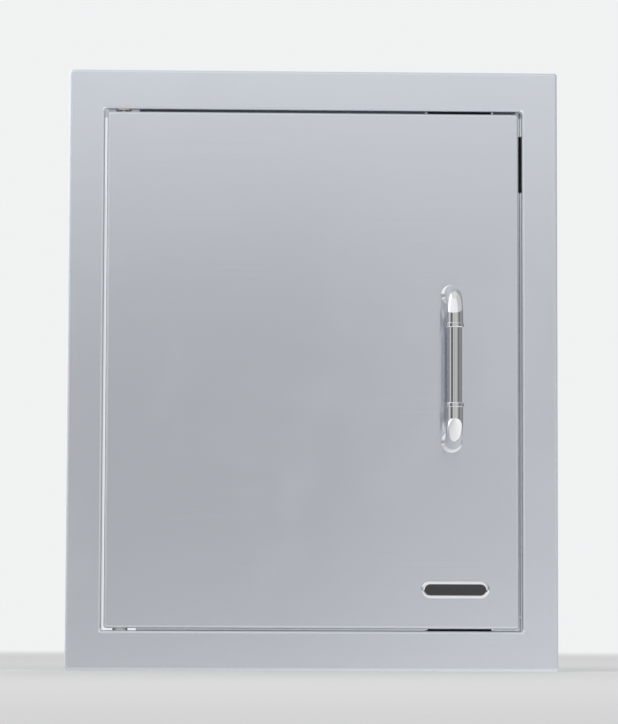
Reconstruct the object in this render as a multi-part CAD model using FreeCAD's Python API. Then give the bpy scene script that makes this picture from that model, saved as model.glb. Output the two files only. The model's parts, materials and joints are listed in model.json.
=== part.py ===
import FreeCAD, Part
import math
import os

# An outdoor-kitchen access door. A one-piece sheet-steel frame is let into the face of an island,
# and a flush double-walled door turns in it on two concealed pivots at its left edge. The upper
# pivot is a sprung pin, so that the leaf can be lifted out. Two magnetic catches hold it shut.
# Millimetres. X is to the right, Y goes into the island, Z is up. The origin is the centre of the
# opening, in the plane of the island's face.

Vector = FreeCAD.Vector

# How far a cutting tool runs past the face that it cuts
PAST = 2.0

# Face frame
FRAME_WIDTH = 425.0
FRAME_HEIGHT = 521.0
FRAME_SHEET = 1.2
FRAME_BEND = 2.3
FRAME_CORNER = 2.5
REVEAL = 16.0
SLEEVE_DEPTH = 35.0
OPENING_WIDTH = 363.0
OPENING_HEIGHT = 452.0
REAR_LIP = 8.0
RELIEF_RADIUS = 1.7
RELIEF_DEPTH = 6.0
FIXING_RADIUS = 2.5
FIXING_Y = 27.0
SIDE_FIXING_Z = 150.0
END_FIXING_X = 70.0

# Door leaf
DOOR_WIDTH = 358.0
DOOR_HEIGHT = 448.1
DOOR_THICKNESS = 19.0
DOOR_SHEET = 1.0
DOOR_BEND = 2.3
LINER_SHEET = 0.8
LINER_EDGE = 3.0
LINER_CORNER = 3.0
DOOR_LIP = 14.0
DOOR_INNER_CORNER = 1.5
DOOR_WINDOW_CORNER = 3.0
LEFT_GAP = 2.15
BOTTOM_GAP = 1.8
EMBOSS_BORDER = 29.0
EMBOSS_DEPTH = 6.0
EMBOSS_CORNER = 12.0
EMBOSS_SLOPE = 7.0
EMBOSS_FLOOR_CORNER = 7.0

# Blind rivets round the liner
RIVET_SHANK_RADIUS = 1.6
RIVET_HEAD_RADIUS = 3.1
RIVET_HEAD_HEIGHT = 0.9
RIVET_TAIL_RADIUS = 2.4
RIVET_TAIL_LENGTH = 1.4
RIVET_INSET = 8.0
END_RIVETS = 4
END_RIVET_START_X = -150.0
END_RIVET_PITCH = 78.0
SIDE_RIVETS = 5
SIDE_RIVET_START_Z = -140.0
SIDE_RIVET_PITCH = 70.0

# Pivots
PIVOT_FROM_EDGE = 13.95
PIVOT_FROM_FACE = 8.0
PIN_RADIUS = 3.0
RUNNING_CLEARANCE = 0.05
BUSH_RADIUS = 5.0
BUSH_FLANGE_RADIUS = 7.0
BUSH_FLANGE = 0.6
DOUBLER_LENGTH = 34.0
DOUBLER_WIDTH = 13.0
DOUBLER_THICKNESS = 3.0
DOUBLER_SHIFT = 1.5
DOUBLER_CORNER = 2.0
LOWER_PIN_REACH = 13.0
LOWER_PIN_CHAMFER = 0.8
LOWER_PIN_HEAD_RADIUS = 5.0
LOWER_PIN_HEAD_HEIGHT = 2.0
THRUST_WASHER_RADIUS = 6.5
PIN_TRAVEL = 9.0
PIN_RISE = 2.3
PIN_NOSE = 1.2
PIN_TAIL = 6.0
PIN_HOLE_RADIUS = 3.5
COLLAR_RADIUS = 5.2
COLLAR_HEIGHT = 2.4
COLLAR_GAP = 0.1
LEVER_RADIUS = 1.5
LEVER_DROP = 7.0
KNOB_RADIUS = 3.2
KNOB_LENGTH = 5.0
KNOB_STANDOFF = 5.0
KNOB_EDGE = 1.4
SKIN_SLOT = (8.4, 24.0)
LINER_SLOT = (7.0, 22.0)
CARRIER_SHEET = 2.0
CARRIER_REACH = 10.0
CARRIER_BACK_GAP = 1.2
CARRIER_FOOT = 12.0
UPPER_LEG_DEPTH = 10.0
LOWER_LEG_DEPTH = 52.0
SOCKET_SHELF = 8.0
SOCKET_WEB_START = 2.0
SOCKET_WEB_RISE = 14.0
BUSH_STAND = 1.5
WIRE_RADIUS = 0.4
SPRING_RADIUS = 4.2
SPRING_TURNS = 9
SPRING_CLOSE_UP = 0.65
SPRING_SEAT_GAP = 0.05

# Handle
HANDLE_X = 120.2
HANDLE_Z = 1.0
HANDLE_SPACING = 128.0
HANDLE_STANDOFF = 36.0
GRIP_RADIUS = 6.35
GRIP_WALL = 1.2
GRIP_VISIBLE = 64.4
GRIP_INSERT = 10.5
ELBOW_RADIUS = 7.3
ELBOW_BEND = 21.0
BEAD_RADIUS = 8.0
BEAD_WIDTH = 3.8
BEAD_EDGE = 0.9
FLANGE_RADIUS = 9.2
FLANGE_THICKNESS = 2.4
FLANGE_EDGE = 1.6
THREAD_RADIUS = 2.0
THREAD_DEPTH = 12.0
HANDLE_HOLE_RADIUS = 2.25
STIFFENER_HALF_WIDTH = 12.0
STIFFENER_SHEET = 1.5
STIFFENER_HEIGHT = 7.0
STIFFENER_OVERHANG = 16.0
WASHER_RADIUS = 4.5
WASHER_HOLE_RADIUS = 2.15
WASHER_THICKNESS = 0.8
HANDLE_SCREW_HEAD = (3.9, 2.4)
PLUG_RADIUS = 6.0
PLUG_CAP_RADIUS = 7.6
PLUG_CAP_HEIGHT = 1.2
PLUG_CAP_EDGE = 0.7
PLUG_SNAP_RADIUS = 6.4
PLUG_SNAP_HEIGHT = 1.2

# Badge plate
BADGE_X = 123.4
BADGE_Z = -190.5
BADGE_LENGTH = 59.2
BADGE_HEIGHT = 15.6
BADGE_RIM = 3.2
BADGE_THICKNESS = 1.9
BADGE_RECESS = 0.8
BADGE_EDGE = 1.3
INLAY_THICKNESS = 0.4
PAD_THICKNESS = 0.4
PAD_MARGIN = 1.5

# Stop rails and magnetic catches
RAIL_Y = 5.5
RAIL_SHEET = 1.2
RAIL_LEG = 12.0
RAIL_DEPTH = 18.5
RAIL_START_X = -152.0
RAIL_GAP = 0.5
CATCH_X = 128.75
CATCH_LENGTH = 55.5
CATCH_HEIGHT = 15.0
CATCH_FRONT_Y = 4.6
CATCH_BACK_Y = 18.0
NOTCH_MARGIN = 2.0
CATCH_EDGE = 1.0
CATCH_FLOOR = 1.6
POCKET_SIDE_GAP = 0.3
POCKET_END_GAP = 0.2
CATCH_SCREW_INSET = 4.2
CATCH_SCREW_RADIUS = 1.6
CATCH_SCREW_LENGTH = 16.0
CATCH_SCREW_HEAD = (3.0, 2.2)
COUNTERBORE_RADIUS = 3.3
COUNTERBORE_DEPTH = 3.2
POLE_LENGTH = 33.0
POLE_THICKNESS = 1.6
POLE_DEPTH = 11.0
POLE_GAP_TO_STRIKE = 0.1
MAGNET_HEIGHT = 5.4
MAGNET_RECESS = 1.1
STRIKE_LENGTH = 46.0
STRIKE_HEIGHT = 8.7
STRIKE_THICKNESS = 1.0
STRIKE_CORNER = 1.5
STRIKE_OFFSET = 0.6
STRIKE_RIVET_INSET = 3.8
STRIKE_RIVET_HEAD_RADIUS = 2.7
BUMPER_BOTTOM_Z = 157.7
BUMPER_LENGTH = 49.5
BUMPER_WIDTH = 11.0
BUMPER_GAP = 0.3
BUMPER_WALL_GAP = 0.2
BUMPER_EDGE = 0.8

# Places that follow from the sizes above
FACE_Y = -REVEAL
WALL_X = OPENING_WIDTH / 2
WALL_Z = OPENING_HEIGHT / 2
SLEEVE_WIDTH = OPENING_WIDTH + 2 * FRAME_SHEET
SLEEVE_HEIGHT = OPENING_HEIGHT + 2 * FRAME_SHEET
DOOR_LEFT = -WALL_X + LEFT_GAP
DOOR_RIGHT = DOOR_LEFT + DOOR_WIDTH
DOOR_BOTTOM = -WALL_Z + BOTTOM_GAP
DOOR_TOP = DOOR_BOTTOM + DOOR_HEIGHT
DOOR_X = (DOOR_LEFT + DOOR_RIGHT) / 2
DOOR_Z = (DOOR_BOTTOM + DOOR_TOP) / 2
DOOR_BACK_Y = FACE_Y + DOOR_THICKNESS
SKIN_BACK_Y = DOOR_BACK_Y - LINER_SHEET
LIP_FRONT_Y = SKIN_BACK_Y - DOOR_SHEET
SKIN_INNER_Y = FACE_Y + DOOR_SHEET
EMBOSS_BACK_Y = DOOR_BACK_Y - EMBOSS_DEPTH
EMBOSS_FRONT_Y = EMBOSS_BACK_Y - LINER_SHEET
DOUBLER_Z = WALL_Z + FRAME_SHEET
DOUBLER_END_Z = DOUBLER_Z + DOUBLER_THICKNESS
LOWER_LEG_Z = DOOR_TOP - LOWER_LEG_DEPTH
UPPER_LEG_Z = DOOR_TOP - UPPER_LEG_DEPTH
LEVER_Z = LOWER_LEG_Z - LEVER_DROP
LEVER_SLOT_Z = LEVER_Z - PIN_TRAVEL / 2
COLLAR_TOP_Z = UPPER_LEG_Z - COLLAR_GAP
POCKET_LOW_Z = WALL_Z - CATCH_HEIGHT + CATCH_FLOOR
POCKET_HIGH_Z = POCKET_LOW_Z + MAGNET_HEIGHT + 2 * POLE_THICKNESS
POLE_FRONT_Y = DOOR_BACK_Y + STRIKE_THICKNESS + POLE_GAP_TO_STRIKE
STRIKE_Z = POCKET_LOW_Z - STRIKE_OFFSET + STRIKE_HEIGHT / 2
STRIKE_BACK_Y = DOOR_BACK_Y + STRIKE_THICKNESS
BADGE_BACK_Y = FACE_Y - PAD_THICKNESS
BADGE_FRONT_Y = BADGE_BACK_Y - BADGE_THICKNESS
PIVOT_X = DOOR_LEFT + PIVOT_FROM_EDGE
PIVOT_Y = FACE_Y + PIVOT_FROM_FACE
GRIP_Y = FACE_Y - HANDLE_STANDOFF
LEG_ZS = [HANDLE_Z + HANDLE_SPACING / 2, HANDLE_Z - HANDLE_SPACING / 2]


def box(x0, x1, y0, y1, z0, z1):
    """A block between two corners."""
    return Part.makeBox(x1 - x0, y1 - y0, z1 - z0, Vector(x0, y0, z0))


def rod(radius, start, end):
    """A round bar from one point to another."""
    start = Vector(*start)
    way = Vector(*end) - start
    return Part.makeCylinder(radius, way.Length, start, way)


def tube(outer, inner, start, end):
    """A round bar with a hole along its axis."""
    return rod(outer, start, end).cut(rod(inner, start, end))


def outline(width, height, radius, y, x=0.0, z=0.0):
    """A rectangle with round corners, square to Y and centred on x, z."""
    edges = []
    ends = []
    for turn in range(4):
        side = 1 if turn in (0, 3) else -1
        rise = 1 if turn in (0, 1) else -1
        centre = Vector(x + side * (width / 2 - radius), y, z + rise * (height / 2 - radius))
        points = []
        for step in (0, 45, 90):
            angle = math.radians(90 * turn + step)
            points.append(centre + Vector(radius * math.cos(angle), 0, radius * math.sin(angle)))
        ends.append((points[0], points[2]))
        edges.append(Part.Arc(*points).toShape())
    for turn in range(4):
        start = ends[turn][1]
        end = ends[(turn + 1) % 4][0]
        if (end - start).Length > 0.001:
            edges.append(Part.LineSegment(start, end).toShape())
    return Part.Wire(Part.__sortEdges__(edges))


def plate(width, height, radius, y0, y1, x=0.0, z=0.0):
    """A flat plate with round corners, square to Y."""
    return Part.Face(outline(width, height, radius, y0, x, z)).extrude(Vector(0, y1 - y0, 0))


def opening_block(width, height, y0, y1):
    """A block centred on the frame's opening."""
    return box(-width / 2, width / 2, y0, y1, -height / 2, height / 2)


def capsule(length, height, y0, y1, x, z):
    """A plate with fully round ends."""
    return plate(length, height, min(length, height) / 2 - 0.01, y0, y1, x, z)


def pivot_rod(radius, low, high):
    """A round bar on the pivot axis, between two heights."""
    return rod(radius, (PIVOT_X, PIVOT_Y, low), (PIVOT_X, PIVOT_Y, high))


def side_drill(radius, side, y, z):
    """A drill through the sleeve's left or right wall."""
    return rod(radius, (side * (WALL_X - PAST), y, z), (side * (WALL_X + 2 * PAST), y, z))


def end_drill(radius, rise, x, y):
    """A drill through the sleeve's top or bottom wall."""
    return rod(radius, (x, y, rise * (WALL_Z - PAST)), (x, y, rise * (WALL_Z + 2 * PAST)))


def leaf_drill(radius, x, z):
    """A drill through the leaf's back sheets."""
    return rod(radius, (x, DOOR_BACK_Y + PAST, z), (x, LIP_FRONT_Y - PAST, z))


def edges_at(shape, y, reach_x=1000.0, reach_z=1000.0):
    """The edges that lie in one plane square to Y, inside a given half width and half height."""
    found = []
    for edge in shape.Edges:
        bounds = edge.BoundBox
        flat = abs(bounds.YMin - y) < 0.001 and abs(bounds.YMax - y) < 0.001
        if flat and max(-bounds.XMin, bounds.XMax) < reach_x and max(-bounds.ZMin, bounds.ZMax) < reach_z:
            found.append(edge)
    return found


def mirrored(shape):
    """The same shape at the other end of the opening."""
    return shape.mirror(Vector(0, 0, 0), Vector(0, 0, 1))


def screw(seat, way, head_size, shank_radius, length):
    """A pan-head screw with a cross recess. Its head bears on seat and its shank runs along way."""
    head_radius, head_height = head_size
    crown = head_height * 0.45
    floor = head_height * 0.45
    slot = head_radius * 0.55
    half = head_radius * 0.12
    head = Part.makeCylinder(head_radius, head_height)
    head = head.makeFillet(crown, [head.Edges[0]])
    shank = Part.makeCylinder(shank_radius, length, Vector(0, 0, 0), Vector(0, 0, -1))
    body = head.fuse(shank)
    body = body.cut(box(-slot, slot, -half, half, floor, head_height + PAST))
    body = body.cut(box(-half, half, -slot, slot, floor, head_height + PAST))
    turn = FreeCAD.Rotation(Vector(0, 0, -1), Vector(*way))
    body.Placement = FreeCAD.Placement(Vector(*seat), turn)
    return body


def rivet(x, z):
    """A blind rivet through the liner and the skin's lip, with its domed head behind the leaf."""
    crown = DOOR_BACK_Y + RIVET_HEAD_HEIGHT
    head = rod(RIVET_HEAD_RADIUS, (x, DOOR_BACK_Y, z), (x, crown, z))
    head = head.makeFillet(RIVET_HEAD_HEIGHT * 0.8, edges_at(head, crown))
    shank = rod(RIVET_SHANK_RADIUS, (x, DOOR_BACK_Y, z), (x, LIP_FRONT_Y, z))
    tail = rod(RIVET_TAIL_RADIUS, (x, LIP_FRONT_Y, z), (x, LIP_FRONT_Y - RIVET_TAIL_LENGTH, z))
    return head.fuse([shank, tail])


def rivet_places():
    """Where the liner's rivets go, along its ends and down its sides."""
    places = []
    for z in (DOOR_TOP - RIVET_INSET, DOOR_BOTTOM + RIVET_INSET):
        for step in range(END_RIVETS):
            places.append((END_RIVET_START_X + END_RIVET_PITCH * step, z))
    for x in (DOOR_LEFT + RIVET_INSET, DOOR_RIGHT - RIVET_INSET):
        for step in range(SIDE_RIVETS):
            places.append((x, SIDE_RIVET_START_Z + SIDE_RIVET_PITCH * step))
    return places


def biarc(start, start_way, end, end_way):
    """Two arcs in a smooth line from start to end, along the given directions at each."""
    chord = end - start
    both = start_way + end_way
    spread = 2 * (1 - start_way.dot(end_way))
    lean = chord.dot(both)
    reach = (math.sqrt(lean * lean + spread * chord.dot(chord)) - lean) / spread
    first = start + start_way * reach
    second = end - end_way * reach
    middle = (first + second) * 0.5
    arcs = []
    for low, corner, high in ((start, first, middle), (middle, second, end)):
        half_chord = (low + high) * 0.5
        cosine = (high - low).Length / 2 / (corner - low).Length
        crown = half_chord + (corner - half_chord) * (cosine / (1 + cosine))
        arcs.append(Part.Arc(low, crown, high).toShape())
    return arcs


def coil_point(turn, bottom, rise):
    """A point on the spring's wire, and its direction. The end turns lie closer together."""
    share = turn / SPRING_TURNS
    angle = 2 * math.pi * turn
    height = rise * (share - SPRING_CLOSE_UP * math.sin(2 * math.pi * share) / (2 * math.pi))
    slope = rise / SPRING_TURNS * (1 - SPRING_CLOSE_UP * math.cos(2 * math.pi * share))
    point = Vector(SPRING_RADIUS * math.cos(angle), SPRING_RADIUS * math.sin(angle), height)
    way = Vector(-SPRING_RADIUS * math.sin(angle), SPRING_RADIUS * math.cos(angle), 0) * 2 * math.pi
    way = (way + Vector(0, 0, slope)).normalize()
    return point + Vector(PIVOT_X, PIVOT_Y, bottom), way


def coil(bottom, top):
    """A compression spring round the pivot axis, between two heights."""
    inset = WIRE_RADIUS + SPRING_SEAT_GAP
    low = bottom + inset
    rise = top - bottom - 2 * inset
    arcs = []
    places = [coil_point(quarter / 4, low, rise) for quarter in range(4 * SPRING_TURNS + 1)]
    for here, following in zip(places, places[1:]):
        arcs += biarc(here[0], here[1], following[0], following[1])
    path = Part.Wire(arcs)
    profile = Part.Wire([Part.Circle(places[0][0], places[0][1], WIRE_RADIUS).toShape()])
    steps = 24
    samples = [coil_point(step / steps, low, rise)[0] for step in range(steps * SPRING_TURNS + 1)]
    gap = min((above - below).Length for below, above in zip(samples, samples[steps:]))
    print("spring: least gap between turns", round(gap - 2 * WIRE_RADIUS, 2), "mm")
    return path.makePipeShell([profile], True, False)


def face_frame():
    """The one-piece frame: face, outer return with its rear lip, and the sleeve in the island."""
    body = plate(FRAME_WIDTH, FRAME_HEIGHT, FRAME_CORNER, FACE_Y, 0)
    body = body.makeFillet(FRAME_BEND, edges_at(body, FACE_Y) + edges_at(body, 0))
    body = body.cut(opening_block(OPENING_WIDTH, OPENING_HEIGHT, FACE_Y - PAST, PAST))
    inner_edges = edges_at(body, FACE_Y, WALL_X + 0.1, WALL_Z + 0.1)
    body = body.makeFillet(FRAME_BEND, inner_edges)
    core = opening_block(SLEEVE_WIDTH, SLEEVE_HEIGHT, FACE_Y, PAST)
    hollow = plate(FRAME_WIDTH - 2 * FRAME_SHEET, FRAME_HEIGHT - 2 * FRAME_SHEET,
                   FRAME_CORNER - FRAME_SHEET, FACE_Y + FRAME_SHEET, -FRAME_SHEET)
    rear = opening_block(FRAME_WIDTH - 2 * REAR_LIP, FRAME_HEIGHT - 2 * REAR_LIP,
                         -FRAME_SHEET - PAST, PAST)
    body = body.cut(hollow.fuse(rear).cut(core))
    sleeve = opening_block(SLEEVE_WIDTH, SLEEVE_HEIGHT, -2 * FRAME_SHEET, SLEEVE_DEPTH)
    through = opening_block(OPENING_WIDTH, OPENING_HEIGHT, FACE_Y, SLEEVE_DEPTH + PAST)
    body = body.fuse(sleeve.cut(through))
    holes = [end_drill(BUSH_RADIUS, 1, PIVOT_X, PIVOT_Y), end_drill(PIN_RADIUS, -1, PIVOT_X, PIVOT_Y)]
    for rise in (-1, 1):
        for side in (-1, 1):
            x, z = side * WALL_X, rise * WALL_Z
            holes.append(rod(RELIEF_RADIUS, (x, FACE_Y - PAST, z), (x, FACE_Y + RELIEF_DEPTH, z)))
            holes.append(side_drill(FIXING_RADIUS, side, FIXING_Y, rise * SIDE_FIXING_Z))
            holes.append(end_drill(FIXING_RADIUS, rise, side * END_FIXING_X, FIXING_Y))
        for x, y in catch_screw_places():
            holes.append(end_drill(CATCH_SCREW_RADIUS, rise, x, y))
    return body.cut(holes)


def hinge_doubler(hole_radius):
    """The thick plate in the frame's hollow that carries a pivot, here the upper one."""
    middle = PIVOT_X + DOUBLER_SHIFT
    body = box(middle - DOUBLER_LENGTH / 2, middle + DOUBLER_LENGTH / 2,
               PIVOT_Y - DOUBLER_WIDTH / 2, PIVOT_Y + DOUBLER_WIDTH / 2, DOUBLER_Z, DOUBLER_END_Z)
    upright = [edge for edge in body.Edges if edge.BoundBox.ZLength > DOUBLER_THICKNESS / 2]
    body = body.makeFillet(DOUBLER_CORNER, upright)
    return body.cut(pivot_rod(hole_radius, DOUBLER_Z - PAST, DOUBLER_END_Z + PAST))


def top_bush():
    """The upper pivot's plastic bush, with a thin flange under the frame's top wall."""
    body = pivot_rod(BUSH_RADIUS, WALL_Z - BUSH_FLANGE, DOUBLER_END_Z)
    flange = pivot_rod(BUSH_FLANGE_RADIUS, WALL_Z - BUSH_FLANGE, WALL_Z)
    bore = pivot_rod(PIN_RADIUS + RUNNING_CLEARANCE, WALL_Z - PAST, DOUBLER_END_Z + PAST)
    return body.fuse(flange).cut(bore)


def bottom_pivot_pin():
    """The fixed lower pivot: a headed pin that stands up through the frame's bottom wall."""
    top = -WALL_Z + LOWER_PIN_REACH
    pin = pivot_rod(PIN_RADIUS, -DOUBLER_END_Z, top)
    pin = pin.makeChamfer(LOWER_PIN_CHAMFER, [edge for edge in pin.Edges if edge.BoundBox.ZMin > top - 0.1])
    head = pivot_rod(LOWER_PIN_HEAD_RADIUS, -DOUBLER_END_Z - LOWER_PIN_HEAD_HEIGHT, -DOUBLER_END_Z)
    return pin.fuse(head)


def thrust_washer():
    """The plastic washer that the leaf turns on."""
    body = pivot_rod(THRUST_WASHER_RADIUS, -WALL_Z, DOOR_BOTTOM - RUNNING_CLEARANCE)
    return body.cut(pivot_rod(PIN_RADIUS + RUNNING_CLEARANCE, -WALL_Z - PAST, DOOR_BOTTOM + PAST))


def stop_rail_end():
    """The top stop rail: an angle against the sleeve's wall, cut away round the catch."""
    leg = box(RAIL_START_X, WALL_X, RAIL_Y, RAIL_Y + RAIL_SHEET, WALL_Z - RAIL_LEG, WALL_Z)
    web = box(RAIL_START_X, WALL_X, RAIL_Y, RAIL_Y + RAIL_DEPTH, WALL_Z - RAIL_SHEET, WALL_Z)
    half = CATCH_LENGTH / 2 + NOTCH_MARGIN
    notch = box(CATCH_X - half, CATCH_X + half, RAIL_Y - PAST, CATCH_BACK_Y + 1.0,
                WALL_Z - RAIL_LEG - PAST, WALL_Z + PAST)
    return leg.fuse(web).cut(notch).removeSplitter()


def stop_rail_latch():
    """The stop rail on the latch side, between the other two."""
    reach = WALL_Z - RAIL_LEG - RAIL_GAP
    leg = box(WALL_X - RAIL_LEG, WALL_X, RAIL_Y, RAIL_Y + RAIL_SHEET, -reach, reach)
    web = box(WALL_X - RAIL_SHEET, WALL_X, RAIL_Y, RAIL_Y + RAIL_DEPTH, -reach, reach)
    return leg.fuse(web).removeSplitter()


def latch_bumper():
    """The rubber pad on the latch-side rail that the shut leaf stops against."""
    front = DOOR_BACK_Y + BUMPER_GAP
    body = box(WALL_X - BUMPER_WIDTH, WALL_X - BUMPER_WALL_GAP, front, RAIL_Y,
               BUMPER_BOTTOM_Z, BUMPER_BOTTOM_Z + BUMPER_LENGTH)
    return body.makeFillet(BUMPER_EDGE, edges_at(body, front))


def catch_screw_places():
    """The x and y of the two screws in each catch."""
    y = (CATCH_FRONT_Y + CATCH_BACK_Y) / 2
    reach = CATCH_LENGTH / 2 - CATCH_SCREW_INSET
    return [(CATCH_X - reach, y), (CATCH_X + reach, y)]


def catch_case():
    """The moulded body of the upper catch, with its pocket and two counterbored screw holes."""
    floor = WALL_Z - CATCH_HEIGHT
    body = box(CATCH_X - CATCH_LENGTH / 2, CATCH_X + CATCH_LENGTH / 2, CATCH_FRONT_Y, CATCH_BACK_Y,
               floor, WALL_Z)
    soft = [edge for edge in body.Edges if edge.BoundBox.ZMin < floor + 1 and edge.BoundBox.ZMax < WALL_Z - 1]
    body = body.makeFillet(CATCH_EDGE, soft)
    half = POLE_LENGTH / 2 + POCKET_SIDE_GAP
    body = body.cut(box(CATCH_X - half, CATCH_X + half, CATCH_FRONT_Y - PAST, POLE_FRONT_Y + POLE_DEPTH,
                        POCKET_LOW_Z - POCKET_END_GAP, POCKET_HIGH_Z + POCKET_END_GAP))
    for x, y in catch_screw_places():
        body = body.cut(rod(CATCH_SCREW_RADIUS, (x, y, floor - PAST), (x, y, WALL_Z + PAST)))
        body = body.cut(rod(COUNTERBORE_RADIUS, (x, y, floor - PAST), (x, y, floor + COUNTERBORE_DEPTH)))
    return body


def catch_poles():
    """The two steel plates that carry the magnet's pull to the strike."""
    half = POLE_LENGTH / 2
    plates = []
    for bottom in (POCKET_LOW_Z, POCKET_HIGH_Z - POLE_THICKNESS):
        plates.append(box(CATCH_X - half, CATCH_X + half, POLE_FRONT_Y, POLE_FRONT_Y + POLE_DEPTH,
                          bottom, bottom + POLE_THICKNESS))
    return Part.makeCompound(plates)


def catch_magnet():
    """The ferrite block between the pole plates."""
    half = POLE_LENGTH / 2
    low = POCKET_LOW_Z + POLE_THICKNESS
    return box(CATCH_X - half, CATCH_X + half, POLE_FRONT_Y + MAGNET_RECESS,
               POLE_FRONT_Y + POLE_DEPTH, low, low + MAGNET_HEIGHT)


def catch_screws():
    """The upper catch's two screws, up through the case and the sleeve's wall."""
    seat = WALL_Z - CATCH_HEIGHT + COUNTERBORE_DEPTH
    group = []
    for x, y in catch_screw_places():
        group.append(screw((x, y, seat), (0, 0, 1), CATCH_SCREW_HEAD, CATCH_SCREW_RADIUS,
                           CATCH_SCREW_LENGTH))
    return Part.makeCompound(group)


def strike_rivet_places():
    """The x of the two rivets in each strike plate."""
    reach = STRIKE_LENGTH / 2 - STRIKE_RIVET_INSET
    return [CATCH_X - reach, CATCH_X + reach]


def strike_rivet(x):
    """A flush rivet through the upper strike plate, the liner and the skin's lip."""
    head = Part.makeCone(STRIKE_RIVET_HEAD_RADIUS, RIVET_SHANK_RADIUS, STRIKE_THICKNESS,
                         Vector(x, STRIKE_BACK_Y, STRIKE_Z), Vector(0, -1, 0))
    shank = rod(RIVET_SHANK_RADIUS, (x, DOOR_BACK_Y, STRIKE_Z), (x, LIP_FRONT_Y, STRIKE_Z))
    tail = rod(RIVET_TAIL_RADIUS, (x, LIP_FRONT_Y, STRIKE_Z),
               (x, LIP_FRONT_Y - RIVET_TAIL_LENGTH, STRIKE_Z))
    return head.fuse([shank, tail])


def strike_rivets():
    """The upper strike plate's rivets."""
    return Part.makeCompound([strike_rivet(x) for x in strike_rivet_places()])


def strike_plate():
    """The upper strike plate on the back of the leaf."""
    body = plate(STRIKE_LENGTH, STRIKE_HEIGHT, STRIKE_CORNER, DOOR_BACK_Y, STRIKE_BACK_Y, CATCH_X, STRIKE_Z)
    return body.cut([strike_rivet(x) for x in strike_rivet_places()])


def fastener_holes():
    """The holes that the liner's rivets and the strikes' rivets leave in the sheets."""
    places = rivet_places()
    for x in strike_rivet_places():
        places += [(x, STRIKE_Z), (x, -STRIKE_Z)]
    return [leaf_drill(RIVET_SHANK_RADIUS, x, z) for x, z in places]


def door_skin():
    """The leaf's front pan: face, four returns and the lips that carry the liner."""
    body = plate(DOOR_WIDTH, DOOR_HEIGHT, FRAME_CORNER, FACE_Y, SKIN_BACK_Y, DOOR_X, DOOR_Z)
    body = body.makeFillet(DOOR_BEND, edges_at(body, FACE_Y))
    inner = 2 * DOOR_SHEET
    body = body.cut(plate(DOOR_WIDTH - inner, DOOR_HEIGHT - inner, DOOR_INNER_CORNER, SKIN_INNER_Y,
                          LIP_FRONT_Y, DOOR_X, DOOR_Z))
    window = 2 * DOOR_LIP
    body = body.cut(plate(DOOR_WIDTH - window, DOOR_HEIGHT - window, DOOR_WINDOW_CORNER,
                          LIP_FRONT_Y - PAST, SKIN_BACK_Y + PAST, DOOR_X, DOOR_Z))
    holes = fastener_holes()
    holes.append(pivot_rod(PIN_HOLE_RADIUS, DOOR_TOP - PAST, DOOR_TOP + PAST))
    holes.append(pivot_rod(BUSH_RADIUS, DOOR_BOTTOM - PAST, DOOR_BOTTOM + PAST))
    for z in LEG_ZS:
        holes.append(rod(HANDLE_HOLE_RADIUS, (HANDLE_X, FACE_Y - PAST, z), (HANDLE_X, FACE_Y + PAST, z)))
    holes.append(capsule(*SKIN_SLOT, LIP_FRONT_Y - PAST, SKIN_BACK_Y + PAST, PIVOT_X, LEVER_SLOT_Z))
    return body.cut(holes)


def emboss(shift):
    """The pressed-in middle of the liner, as a tapered block moved back by shift."""
    width = DOOR_WIDTH - 2 * EMBOSS_BORDER
    height = DOOR_HEIGHT - 2 * EMBOSS_BORDER
    wide = outline(width, height, EMBOSS_CORNER, DOOR_BACK_Y + shift, DOOR_X, DOOR_Z)
    narrow = outline(width - 2 * EMBOSS_SLOPE, height - 2 * EMBOSS_SLOPE, EMBOSS_FLOOR_CORNER,
                     EMBOSS_FRONT_Y + shift, DOOR_X, DOOR_Z)
    return Part.makeLoft([wide, narrow], True, True)


def door_liner():
    """The leaf's inner wall: a flat border with its middle pressed forward to stiffen it."""
    edge = 2 * LINER_EDGE
    body = plate(DOOR_WIDTH - edge, DOOR_HEIGHT - edge, LINER_CORNER, SKIN_BACK_Y, DOOR_BACK_Y,
                 DOOR_X, DOOR_Z)
    body = body.fuse(emboss(0)).cut(emboss(LINER_SHEET))
    holes = fastener_holes()
    for z in LEG_ZS:
        holes.append(rod(PLUG_RADIUS, (HANDLE_X, EMBOSS_FRONT_Y - PAST, z),
                         (HANDLE_X, EMBOSS_BACK_Y + PAST, z)))
    holes.append(capsule(*LINER_SLOT, SKIN_BACK_Y - PAST, DOOR_BACK_Y + PAST, PIVOT_X, LEVER_SLOT_Z))
    return body.cut(holes)


def liner_rivets():
    """All the rivets round the liner."""
    return Part.makeCompound([rivet(x, z) for x, z in rivet_places()])


def access_plugs():
    """The two snap-in plugs that cover the way to the handle's screws."""
    plugs = []
    crown = EMBOSS_BACK_Y + PLUG_CAP_HEIGHT
    for z in LEG_ZS:
        cap = rod(PLUG_CAP_RADIUS, (HANDLE_X, EMBOSS_BACK_Y, z), (HANDLE_X, crown, z))
        cap = cap.makeFillet(PLUG_CAP_EDGE, edges_at(cap, crown))
        stem = rod(PLUG_RADIUS, (HANDLE_X, EMBOSS_FRONT_Y, z), (HANDLE_X, EMBOSS_BACK_Y, z))
        snap = rod(PLUG_SNAP_RADIUS, (HANDLE_X, EMBOSS_FRONT_Y - PLUG_SNAP_HEIGHT, z),
                   (HANDLE_X, EMBOSS_FRONT_Y, z))
        plugs.append(cap.fuse([stem, snap]))
    return Part.makeCompound(plugs)


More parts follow.
